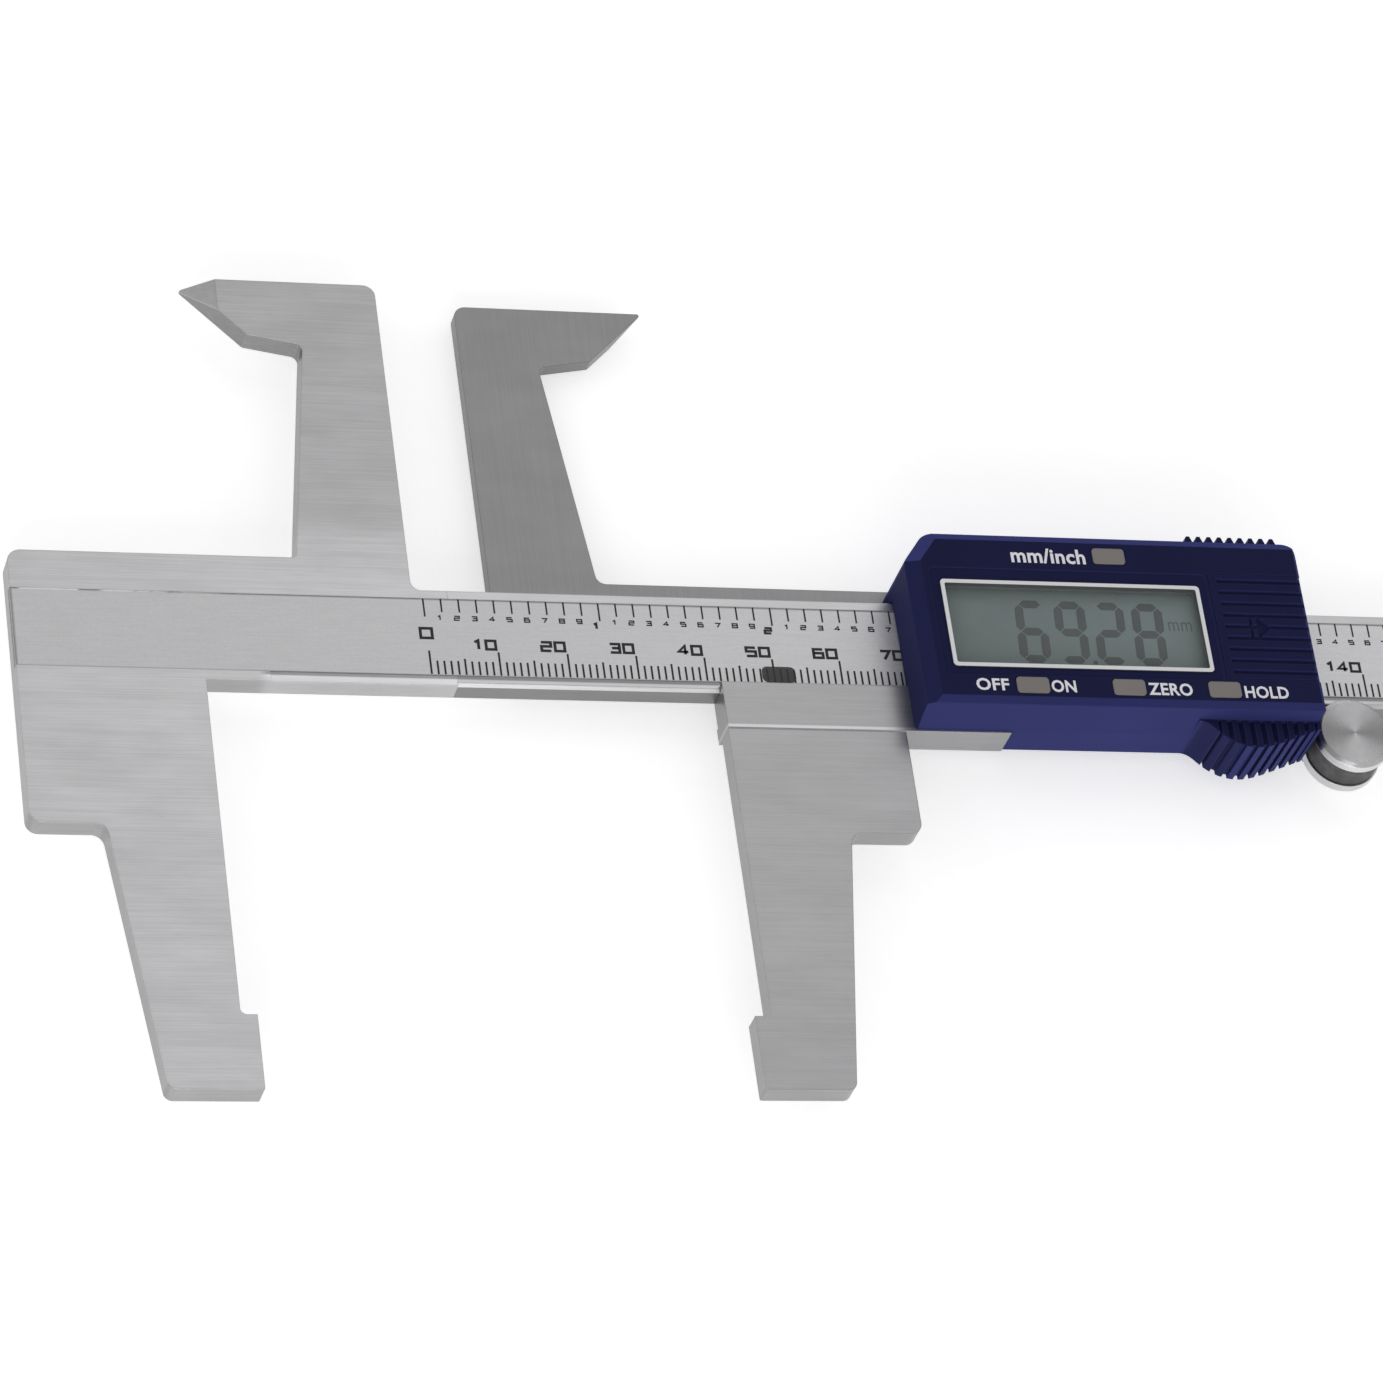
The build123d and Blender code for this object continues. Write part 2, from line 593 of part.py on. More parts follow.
def thumb_rest():
    """Ribbed rest for the thumb, as deep as the housing's skirt."""
    depth = FRONT + REST_FRONT - RAIL_BACK
    full = Pos(0, 0, RAIL_BACK) * extrude(rest_outline(0), depth)
    core = Pos(0, 0, RAIL_BACK) * extrude(rest_outline(RIB_DEPTH), depth - RIB_DEPTH)
    first = HOUSE_RIGHT - RIB_FROM_END
    last = first + REST_RIBS * RIB_PITCH
    low = HOUSE_LOW - 6
    high = HOUSE_LOW + 2
    keep = [
        block(HOUSE_LEFT, first - RIB_PITCH / 2, low, high, RAIL_BACK - 1, HOUSE_FRONT),
        block(last - RIB_PITCH / 2, HOUSE_RIGHT + 1, low, high, RAIL_BACK - 1, HOUSE_FRONT),
    ]
    for number in range(REST_RIBS):
        x = first + number * RIB_PITCH
        keep.append(block(x - RIB_WIDTH / 2, x + RIB_WIDTH / 2, low, high, RAIL_BACK - 1, HOUSE_FRONT))
    rest = core
    for slab in keep:
        rest += full & slab
    return rest


def top_teeth():
    """Serration on the housing's top, near its right end."""
    teeth = []
    half = TOOTH_WIDTH / 2
    top = TOOTH_TOP / 2
    low = HOUSE_HIGH - 0.3
    high = HOUSE_HIGH + TOOTH_HEIGHT
    for number in range(TEETH):
        x = HOUSE_RIGHT - TEETH_FROM_END + number * TEETH_PITCH
        points = [(x - half, low), (x + half, low), (x + top, high), (x - top, high)]
        face = make_face(Polyline(*points, close=True))
        back = COVER_FRONT + TOOTH_INSET
        teeth.append(Pos(0, 0, back) * extrude(face, HOUSE_FRONT - TOOTH_INSET - back))
    return teeth


def housing_front():
    """Plastic housing in front of the slide, with its keys' holes and battery bay."""
    shell = plate(house_plan(), COVER_FRONT, HOUSE_FRONT)
    shell = shave(shell, (HOUSE_LEFT, HOUSE_LOW, RAIL_FRONT), (0, RAIL_FRONT - HOUSE_FRONT, BOTTOM_DRAFT))
    level = HOUSE_FRONT - FACE_BEVEL_DEPTH
    shell = shave(shell, (HOUSE_LEFT, HOUSE_LOW + BOTTOM_DRAFT, level), (0, -FACE_BEVEL_DEPTH, FACE_BEVEL))
    shell = shave(shell, (HOUSE_LEFT, HOUSE_HIGH, level), (0, FACE_BEVEL_DEPTH, FACE_BEVEL))
    shell = shave(shell, (HOUSE_RIGHT, HOUSE_LOW, level), (FACE_BEVEL_DEPTH, 0, 0.5))
    left_level = HOUSE_FRONT - LEFT_BEVEL_DEPTH
    shell = shave(shell, (HOUSE_LEFT, HOUSE_LOW, left_level), (-LEFT_BEVEL_DEPTH, 0, LEFT_BEVEL))
    corner = (HOUSE_LEFT, HOUSE_HIGH - CORNER_CUT_Y, left_level)
    shell = shave(shell, corner, (-CORNER_CUT_Y * 0.2, CORNER_CUT_X * 0.2, 2.4))
    for tooth in top_teeth():
        shell += tooth
    shell += thumb_rest()
    far = 1.0
    # room for the slide, the beam and the plate behind it
    shell -= block(HOUSE_LEFT - far, SKIRT_X, HOUSE_LOW - far, BEAM_LOW + LIP_HEIGHT + 0.1,
                   COVER_FRONT - far, RAIL_FRONT + 0.02)
    shell -= block(SKIRT_X - far, HOUSE_RIGHT + far, CAVITY_LOW, BEAM_LOW + LIP_HEIGHT + 0.1,
                   COVER_FRONT - far, RAIL_FRONT + 0.02)
    shell -= block(SKIRT_X - far, HOUSE_RIGHT + far, HOUSE_LOW - 6, PLATE_LOW,
                   COVER_FRONT - far, RAIL_BACK)
    shell -= block(HOUSE_LEFT - far, HOUSE_RIGHT + far, BEAM_LOW, BEAM_HIGH + 0.4,
                   COVER_FRONT - far, FRONT + HOUSING_GAP)
    shell -= block(HOUSE_LEFT - far, HOUSE_RIGHT + far, BEAM_LOW, PLATE_HIGH + 0.15,
                   COVER_FRONT - far, PLATE_FRONT + 0.05)
    shell -= block(GUIDE_LEFT - 0.1, GUIDE_RIGHT + 0.1, BEAM_HIGH - TOP_LIP_HEIGHT - 0.1,
                   PLATE_HIGH + 0.15, COVER_FRONT - far, RAIL_FRONT + 0.02)
    # hollow for the electronics
    bay_left = DOOR_X0 - 0.8
    low = CAVITY_LOW + BOTTOM_DRAFT
    shell -= plate(cut_corner_plan(CAVITY_LEFT, bay_left, low, CAVITY_HIGH), RAIL_FRONT, CAVITY_FRONT)
    shell -= block(bay_left, CAVITY_RIGHT, low, DOOR_Y0 - 0.1, RAIL_FRONT, CAVITY_FRONT)
    shell -= block(bay_left - far, CAVITY_RIGHT, DOOR_Y0 - far, CAVITY_HIGH, RAIL_FRONT, TONGUE_LOW - 0.75)
    shell -= block(CAVITY_LEFT, CAVITY_RIGHT, BEAM_LOW + LIP_HEIGHT, BEAM_HIGH - TOP_LIP_HEIGHT,
                   FRONT, RAIL_FRONT + far)
    slot_left = HOUSE_LEFT + CORNER_CUT_X + 2.5
    shell -= block(slot_left, CAVITY_RIGHT, PLATE_HIGH, CAVITY_HIGH, COVER_FRONT - far, RAIL_FRONT + far)
    # display, keys, cell, door and screws
    gap = 0.05
    shell -= rounded(HOUSE_LEFT + ZONE_LEFT, HOUSE_LEFT + ZONE_RIGHT, BEAM_LOW + ZONE_LOW, BEAM_LOW + ZONE_HIGH,
                     0.8, HOUSE_FRONT - ZONE_DEPTH, HOUSE_FRONT + far)
    shell -= rounded(BEZEL_X0 - gap, BEZEL_X1 + gap, BEZEL_Y0 - gap, BEZEL_Y1 + gap, 0.6,
                     CAVITY_FRONT - far, HOUSE_FRONT + far)
    for x, y in KEYS.values():
        half_x = KEY_WIDTH / 2 + KEY_GAP
        half_y = KEY_HEIGHT / 2 + KEY_GAP
        shell -= rounded(x - half_x, x + half_x, y - half_y, y + half_y, KEY_CORNER + KEY_GAP,
                         CAVITY_FRONT - far, HOUSE_FRONT + far)
    for place in HOUSING_SCREWS:
        shell += post(place, BOSS_RADIUS, RAIL_FRONT + 0.02, CAVITY_FRONT + 0.2)
        shell -= post(place, SCREW_RADIUS + SCREW_FIT, RAIL_FRONT - far, RAIL_FRONT + 3.2)
    shell -= post(CELL_CENTRE, CELL_RADIUS + CELL_CLEARANCE, RAIL_FRONT, HOUSE_FRONT + far)
    shell -= block(DOOR_X0 - DOOR_CLEARANCE, HOUSE_RIGHT + far, DOOR_Y0 - DOOR_CLEARANCE,
                   DOOR_Y1 + DOOR_CLEARANCE, TONGUE_HIGH - gap, HOUSE_FRONT + far)
    reach = TONGUE_REACH + DOOR_CLEARANCE
    shell -= block(DOOR_X0 - DOOR_CLEARANCE, HOUSE_RIGHT + far, DOOR_Y0 - reach, DOOR_Y1 + reach,
                   TONGUE_LOW - gap, TONGUE_HIGH + gap)
    for x in SET_SCREWS:
        shell -= set_screw_shape(x, SET_SCREW_RADIUS + SET_SCREW_ACCESS, CAVITY_HIGH - far, HOUSE_HIGH + far)
    return shell


def housing_back():
    """Plastic cover behind the back plate."""
    left = HOUSE_LEFT + BACK_COVER_INSET
    corners = [
        (left, PLATE_LOW, 1.5),
        (HOUSE_RIGHT - BACK_COVER_NOTCH, PLATE_LOW, 1.0),
        (HOUSE_RIGHT - BACK_COVER_NOTCH, BEAM_LOW + 1.5, 1.5),
        (HOUSE_RIGHT, BEAM_LOW + 1.5, 1.5),
        (HOUSE_RIGHT, HOUSE_HIGH, 2.0),
        (HOUSE_LEFT + CORNER_CUT_X, HOUSE_HIGH, 2.0),
        (left, HOUSE_HIGH - CORNER_CUT_Y + 1.35, 2.0),
    ]
    cover = plate(corners, COVER_BACK, COVER_FRONT)
    rim = cover.faces().sort_by(Axis.Z)[0].outer_wire().edges()
    cover = chamfer(rim, 0.4)
    for place in HOUSING_SCREWS:
        cover -= back_screw_space(place, COVER_BACK, COVER_FRONT + 1)
    return cover


def battery_door():
    """Sliding cover over the cell, with grooves for the thumb."""
    right = HOUSE_RIGHT - 0.1
    door = block(DOOR_X0, right, DOOR_Y0, DOOR_Y1, TONGUE_HIGH - 0.01, HOUSE_FRONT)
    door = shave(door, (right, DOOR_Y0, HOUSE_FRONT - FACE_BEVEL_DEPTH), (FACE_BEVEL_DEPTH, 0, 0.5))
    door += block(DOOR_X0, right, DOOR_Y0 - TONGUE_REACH, DOOR_Y1 + TONGUE_REACH, TONGUE_LOW, TONGUE_HIGH)
    for number in range(DOOR_GROOVES):
        y = DOOR_MID + (number - (DOOR_GROOVES - 1) / 2) * GROOVE_PITCH
        door -= block(DOOR_X0 + 1.2, right + 1, y - GROOVE_WIDTH / 2, y + GROOVE_WIDTH / 2,
                      HOUSE_FRONT - GROOVE_DEPTH, HOUSE_FRONT + 1)
    x = DOOR_X0 + ARROW_START
    half = ARROW_HEIGHT / 2
    floor = HOUSE_FRONT - ARROW_DEPTH
    door -= block(x, x + ARROW_BAR, DOOR_MID - half, DOOR_MID + half, floor, HOUSE_FRONT + 1)
    start = x + 2.5 * ARROW_BAR
    head = [(start, DOOR_MID - half, 0), (start + ARROW_HEAD, DOOR_MID, 0), (start, DOOR_MID + half, 0)]
    return door - plate(head, floor, HOUSE_FRONT + 1)


def lcd_bezel():
    """Bright frame round the display."""
    low = HOUSE_FRONT - BEZEL_DEPTH
    high = HOUSE_FRONT + BEZEL_PROUD
    rim = BEZEL_RIM
    frame = rounded(BEZEL_X0, BEZEL_X1, BEZEL_Y0, BEZEL_Y1, 0.6, low, high)
    return frame - rounded(BEZEL_X0 + rim, BEZEL_X1 - rim, BEZEL_Y0 + rim, BEZEL_Y1 - rim, 0.3,
                           low - 1, high + 1)


def lcd_window():
    """Clear window inside the bezel."""
    inset = BEZEL_RIM + SCREW_FIT
    high = HOUSE_FRONT - WINDOW_SINK
    return rounded(BEZEL_X0 + inset, BEZEL_X1 - inset, BEZEL_Y0 + inset, BEZEL_Y1 - inset, 0.28,
                   high - WINDOW_THICKNESS, high)


def lcd_panel():
    """Liquid-crystal glass under the window."""
    over = PANEL_OVERLAP
    return block(BEZEL_X0 - over, BEZEL_X1 + over, BEZEL_Y0 - over, BEZEL_Y1 + over, PANEL_LOW, PANEL_HIGH)


def zebra_strips():
    """Two rubber contact strips between the board and the glass."""
    strips = []
    for y in (BEZEL_Y0 + 0.6, BEZEL_Y1 - 0.6):
        strips.append(block(BEZEL_X0 + 1, BEZEL_X1 - 1, y - 0.6, y + 0.6, BOARD_HIGH, PANEL_LOW))
    return group(strips)


def main_board():
    """Circuit board on the rail and the guide, cut back round the cell."""
    right = DOOR_X0 - 0.9
    low = CAVITY_LOW + BOTTOM_DRAFT + BOARD_MARGIN
    high = CAVITY_HIGH - BOARD_MARGIN
    left = CAVITY_LEFT + BOARD_MARGIN
    board = plate(cut_corner_plan(left, right, low, high), BOARD_LOW, BOARD_HIGH)
    key_x = KEYS["key_hold"][0]
    board += block(right - 1, key_x + 3.2, low, LOWER_KEY_Y + 2.2, BOARD_LOW, BOARD_HIGH)
    for place in HOUSING_SCREWS:
        board -= post(place, BOSS_RADIUS + 0.2, BOARD_LOW - 1, BOARD_HIGH + 1)
    return board


def pickup_board():
    """Sliding electrode board that faces the strip in the beam."""
    low = BEAM_LOW + LIP_HEIGHT + 0.2
    high = BEAM_HIGH - TOP_LIP_HEIGHT - 0.2
    level = FRONT + PICKUP_GAP
    return block(BEZEL_X0, BEZEL_X1, low, high, level, level + PICKUP_THICKNESS)


def controller_chip():
    """Chip on the main board, under the display."""
    x = BEZEL_X0 + 4.5
    y = DOOR_MID - CHIP_SIDE / 2
    return block(x, x + CHIP_SIDE, y, y + CHIP_SIDE, BOARD_HIGH, BOARD_HIGH + CHIP_THICKNESS)


def key(place):
    """A key cap with the flange and stem that hold it in the housing."""
    x, y = place
    half_x = KEY_WIDTH / 2
    half_y = KEY_HEIGHT / 2
    flange_high = CAVITY_FRONT - 0.05
    flange_low = flange_high - KEY_FLANGE_THICKNESS
    cap = rounded(x - half_x, x + half_x, y - half_y, y + half_y, KEY_CORNER, flange_low,
                  HOUSE_FRONT + KEY_PROUD)
    wide = half_x + KEY_FLANGE
    tall = half_y + KEY_FLANGE - 0.25
    cap += block(x - wide, x + wide, y - tall, y + tall, flange_low, flange_high)
    stem_low = BOARD_HIGH + DOME_HEIGHT + KEY_TRAVEL + 0.05
    return cap + block(x - STEM_WIDTH / 2, x + STEM_WIDTH / 2, y - STEM_HEIGHT / 2, y + STEM_HEIGHT / 2,
                       stem_low, flange_low)


def key_domes():
    """Snap domes on the board, one under each key."""
    domes = [post(place, DOME_RADIUS, BOARD_HIGH, BOARD_HIGH + DOME_HEIGHT) for place in KEYS.values()]
    return group(domes)


def button_cell():
    """Cell with its cap below and its can above."""
    split_level = CELL_LOW + CELL_CAP_HEIGHT
    can = post(CELL_CENTRE, CELL_RADIUS, split_level, CELL_LOW + CELL_HEIGHT)
    return can + post(CELL_CENTRE, CELL_CAP_RADIUS, CELL_LOW, split_level)


def cell_contact_negative():
    """Spring leaf under the cell, with a foot on the board."""
    x, y = CELL_CENTRE
    top = CELL_LOW
    low = top - CONTACT_THICKNESS
    foot_right = DOOR_X0 - 0.55
    foot_top = BOARD_HIGH + CONTACT_THICKNESS
    leaf = block(x - 3, x + 3, y - 3.5, y + 3.5, low, top)
    leaf += block(foot_right - CONTACT_THICKNESS, x, y - 3.5, y - 2.0, low, top)
    leaf += block(foot_right - CONTACT_THICKNESS, foot_right, y - 3.5, y - 2.0, low, foot_top)
    return leaf + block(foot_right - 2.2, foot_right, y - 3.5, y - 2.0, BOARD_HIGH, foot_top)


def cell_contact_positive():
    """Upright leaf beside the can, with a foot on the board."""
    y = CELL_CENTRE[1]
    right = CELL_CENTRE[0] - CELL_RADIUS - 0.1
    foot_top = BOARD_HIGH + CONTACT_THICKNESS
    leaf = block(right - CONTACT_THICKNESS, right, y - 1.5, y + 1.5, BOARD_HIGH, CELL_LOW + CELL_HEIGHT - 1.6)
    return leaf + block(right - 3.5, right, y - 1.5, y + 1.5, BOARD_HIGH, foot_top)


def roller_front_disc():
    """Turned disc with a hub, its face a shallow cone."""
    flat = DISC_HIGH - CONE_HEIGHT
    disc = post(ROLLER_CENTRE, DISC_RADIUS, DISC_LOW, flat)
    cone = Pos(ROLLER_CENTRE[0], ROLLER_CENTRE[1], flat + CONE_HEIGHT / 2)
    disc += cone * Cone(DISC_RADIUS, DISC_RADIUS - 0.6, CONE_HEIGHT)
    disc += post(ROLLER_CENTRE, HUB_RADIUS, BACK_DISC_HIGH, DISC_LOW)
    return disc - post(ROLLER_CENTRE, AXLE_RADIUS + AXLE_FIT, BACK_DISC_HIGH - 1, DISC_HIGH - AXLE_SHORT)


def roller_tyre():
    """Rubber ring between the discs."""
    ring = post(ROLLER_CENTRE, TYRE_RADIUS, BACK_DISC_HIGH, DISC_LOW)
    ring = fillet(ring.edges().filter_by(GeomType.CIRCLE), TYRE_ROUND)
    return ring - post(ROLLER_CENTRE, HUB_RADIUS + SCREW_FIT, BACK_DISC_HIGH - 1, DISC_LOW + 1)


def roller_back_disc():
    """Disc behind the rubber ring."""
    disc = post(ROLLER_CENTRE, DISC_RADIUS, BACK_DISC_LOW, BACK_DISC_HIGH)
    disc = chamfer(disc.edges().filter_by(GeomType.CIRCLE).sort_by(Axis.Z)[0], 0.35)
    return disc - post(ROLLER_CENTRE, AXLE_RADIUS + AXLE_FIT, BACK_DISC_LOW - 1, BACK_DISC_HIGH + 1)


def roller_axle():
    """Pin riveted in the bracket."""
    pin = post(ROLLER_CENTRE, AXLE_RADIUS, BRACKET_BACK, DISC_HIGH - AXLE_SHORT - 0.1)
    return pin + post(ROLLER_CENTRE, AXLE_RADIUS + 0.5, BRACKET_BACK - 0.4, BRACKET_BACK)


def roller_bracket():
    """Spring-steel strip on the back plate that carries the roller's axle."""
    x, y = ROLLER_CENTRE
    radius = BRACKET_RADIUS
    left = x - BRACKET_LENGTH
    shelf = BRACKET_SCREWS[0][1] + 2.0
    corners = [
        (left, PLATE_LOW + 0.2, 1.0),
        (x - 6.5, PLATE_LOW + 0.2, 1.5),
        (x - 3.2, y - radius, 1.5),
        (x + radius, y - radius, radius - 0.1),
        (x + radius, y + radius, radius - 0.1),
        (x - 4.0, shelf, 1.5),
        (left, shelf, 1.0),
    ]
    strip = plate(corners, BRACKET_BACK, COVER_FRONT)
    strip -= post(ROLLER_CENTRE, AXLE_RADIUS + SCREW_FIT, BRACKET_BACK - 1, COVER_FRONT + 1)
    for hole in screw_holes(BRACKET_SCREWS, SCREW_HOLE, BRACKET_BACK - 1, COVER_FRONT + 1):
        strip -= hole
    return strip


scale_low = SCALE_LOW + 0.02
scale_high = SCALE_HIGH - 0.02
scale_right = BEAM_END - SCALE_END_GAP - 0.05
plate_top = FRONT - PLATE_SINK
plate_low = plate_top - PLATE_THICKNESS
stator = block(-SHOULDER_WIDTH, scale_right, scale_low, scale_high, plate_low - STRIP_THICKNESS, plate_low)
scale = block(-SHOULDER_WIDTH, scale_right, scale_low, scale_high, plate_low, plate_top)

pieces = {
    "fixed_jaw": fixed_jaw(),
    "beam": beam(),
    "stator_strip": stator,
    "scale_plate": scale,
    "end_stop": end_stop(),
    "end_stop_screws": group([
        back_screw(place, BACK - END_STOP_THICKNESS, BED_FLOOR - 0.5) for place in end_stop_screw_places()
    ]),
    "moving_lower_jaw": moving_lower_jaw(),
    "moving_upper_jaw": moving_upper_jaw(),
    "jaw_screws": group([back_screw(place, PLATE_BACK, FRONT - 0.1) for place in JAW_SCREWS]),
    "top_guide": top_guide(),
    "gib_strip": gib_strip(),
    "gib_set_screws": gib_set_screws(),
    "housing_front": housing_front(),
    "housing_back": housing_back(),
    "housing_screws": group([back_screw(place, COVER_BACK, RAIL_FRONT + 3.0) for place in HOUSING_SCREWS]),
    "battery_door": battery_door(),
    "lcd_bezel": lcd_bezel(),
    "lcd_window": lcd_window(),
    "lcd_panel": lcd_panel(),
    "zebra_strips": zebra_strips(),
    "main_board": main_board(),
    "pickup_board": pickup_board(),
    "controller_chip": controller_chip(),
    "key_domes": key_domes(),
    "button_cell": button_cell(),
    "cell_contact_negative": cell_contact_negative(),
    "cell_contact_positive": cell_contact_positive(),
    "roller_front_disc": roller_front_disc(),
    "roller_tyre": roller_tyre(),
    "roller_back_disc": roller_back_disc(),
    "roller_axle": roller_axle(),
    "roller_bracket": roller_bracket(),
    "bracket_screws": group([pan_screw(place, BRACKET_BACK, FRONT - 0.1) for place in BRACKET_SCREWS]),
}
for key_name, key_place in KEYS.items():
    pieces[key_name] = key(key_place)

for piece_name, piece in pieces.items():
    save(piece, piece_name)
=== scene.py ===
"""Looks for the digital caliper: finishes, printed divisions, lettering, display and studio."""

import math

import bpy
from mathutils import Matrix, Vector


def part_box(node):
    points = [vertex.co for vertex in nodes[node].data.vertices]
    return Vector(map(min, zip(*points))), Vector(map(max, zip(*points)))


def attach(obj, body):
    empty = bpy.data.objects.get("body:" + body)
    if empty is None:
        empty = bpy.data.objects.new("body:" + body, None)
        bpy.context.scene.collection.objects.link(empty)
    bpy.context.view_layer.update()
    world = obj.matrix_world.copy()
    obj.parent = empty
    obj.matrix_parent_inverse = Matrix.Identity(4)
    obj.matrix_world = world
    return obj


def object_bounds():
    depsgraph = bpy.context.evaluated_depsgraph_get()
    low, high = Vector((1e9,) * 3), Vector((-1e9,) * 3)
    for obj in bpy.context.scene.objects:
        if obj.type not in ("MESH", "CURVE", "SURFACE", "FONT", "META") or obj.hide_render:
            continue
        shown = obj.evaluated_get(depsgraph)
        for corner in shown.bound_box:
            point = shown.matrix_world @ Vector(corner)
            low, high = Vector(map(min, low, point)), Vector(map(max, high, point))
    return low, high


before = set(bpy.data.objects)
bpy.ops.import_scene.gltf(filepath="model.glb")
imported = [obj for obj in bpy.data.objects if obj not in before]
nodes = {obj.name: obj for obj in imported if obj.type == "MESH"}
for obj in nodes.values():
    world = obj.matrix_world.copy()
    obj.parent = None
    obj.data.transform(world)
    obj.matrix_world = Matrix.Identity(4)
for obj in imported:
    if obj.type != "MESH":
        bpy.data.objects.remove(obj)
cad_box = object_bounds()
MM = 0.001


class Wire:
    """A socket's value, which ordinary arithmetic passes on through Math nodes."""

    def __init__(self, bench, socket):
        self.bench = bench
        self.socket = socket

    def __add__(self, other):
        return self.bench.maths("ADD", self, other)

    def __radd__(self, other):
        return self.bench.maths("ADD", other, self)

    def __sub__(self, other):
        return self.bench.maths("SUBTRACT", self, other)

    def __rsub__(self, other):
        return self.bench.maths("SUBTRACT", other, self)

    def __mul__(self, other):
        return self.bench.maths("MULTIPLY", self, other)

    def __rmul__(self, other):
        return self.bench.maths("MULTIPLY", other, self)

    def __truediv__(self, other):
        return self.bench.maths("DIVIDE", self, other)

    def __rtruediv__(self, other):
        return self.bench.maths("DIVIDE", other, self)

    def __pow__(self, other):
        return self.bench.maths("POWER", self, other)


class Bench:
    """A material, or the world, and the nodes laid out in it."""

    def __init__(self, owner):
        owner.use_nodes = True
        self.owner = owner
        self.tree = owner.node_tree
        self.tree.nodes.clear()

    def node(self, kind, settings, inputs):
        """A node with its settings, then its sockets' values or links."""
        made = self.tree.nodes.new(kind)
        for name, value in settings.items():
            setattr(made, name, value)
        for name, value in inputs.items():
            if isinstance(value, Wire):
                self.tree.links.new(value.socket, made.inputs[name])
            else:
                made.inputs[name].default_value = value
        return made

    def out(self, made, name=0):
        return Wire(self, made.outputs[name])

    def maths(self, operation, a, b=0.0):
        return self.out(self.node("ShaderNodeMath", {"operation": operation}, {0: a, 1: b}))

    def vector(self, operation, a, b=(0, 0, 0)):
        made = self.node("ShaderNodeVectorMath", {"operation": operation}, {0: a, 1: b})
        return self.out(made, "Value" if operation in ("DOT_PRODUCT", "LENGTH") else "Vector")

    def scaled(self, vector, amount):
        made = self.node("ShaderNodeVectorMath", {"operation": "SCALE"}, {0: vector, "Scale": amount})
        return self.out(made, "Vector")

    def spot(self, stretch=(1, 1, 1), shift=(0, 0, 0)):
        """Object coordinates, stretched and then shifted."""
        coords = self.out(self.node("ShaderNodeTexCoord", {}, {}), "Object")
        made = self.node("ShaderNodeMapping", {}, {"Vector": coords, "Scale": stretch, "Location": shift})
        return self.out(made)

    def axes(self, vector):
        made = self.node("ShaderNodeSeparateXYZ", {}, {0: vector})
        return [self.out(made, number) for number in range(3)]

    def noise(self, vector, scale, detail=2.0, roughness=0.5):
        sockets = {"Vector": vector, "Scale": scale, "Detail": detail, "Roughness": roughness}
        return self.out(self.node("ShaderNodeTexNoise", {}, sockets))

    def ramp(self, value, low, high):
        """0 below low and 1 above high, with a smooth change between."""
        sockets = {"Value": value, "From Min": low, "From Max": high}
        return self.out(self.node("ShaderNodeMapRange", {"interpolation_type": "SMOOTHSTEP"}, sockets))

    def mix(self, amount, a, b):
        made = self.node("ShaderNodeMix", {"data_type": "RGBA"}, {0: amount, 6: a, 7: b})
        return self.out(made, 2)

    def facing(self):
        """The surface's own direction."""
        return self.out(self.node("ShaderNodeNewGeometry", {}, {}), "Normal")

    def edge(self, width):
        """The direction rounded over edges, and how near an edge a point is."""
        rounded = self.out(self.node("ShaderNodeBevel", {"samples": 6}, {"Radius": width}))
        near = 1.0 - self.vector("DOT_PRODUCT", rounded, self.facing())
        return rounded, self.ramp(near, 0.01, 0.25)

    def bump(self, height, distance, normal=None):
        sockets = {"Height": height, "Distance": distance, "Strength": 1.0}
        if normal is not None:
            sockets["Normal"] = normal
        return self.out(self.node("ShaderNodeBump", {}, sockets), "Normal")

    def surface(self, sockets):
        """A Principled surface, linked to the output."""
        made = self.node("ShaderNodeBsdfPrincipled", {}, sockets)
        self.node("ShaderNodeOutputMaterial", {}, {"Surface": self.out(made)})
        return self.owner


def grey(value):
    return (value, value, value * 1.01, 1.0)


def fresh(name):
    return Bench(bpy.data.materials.new(name))


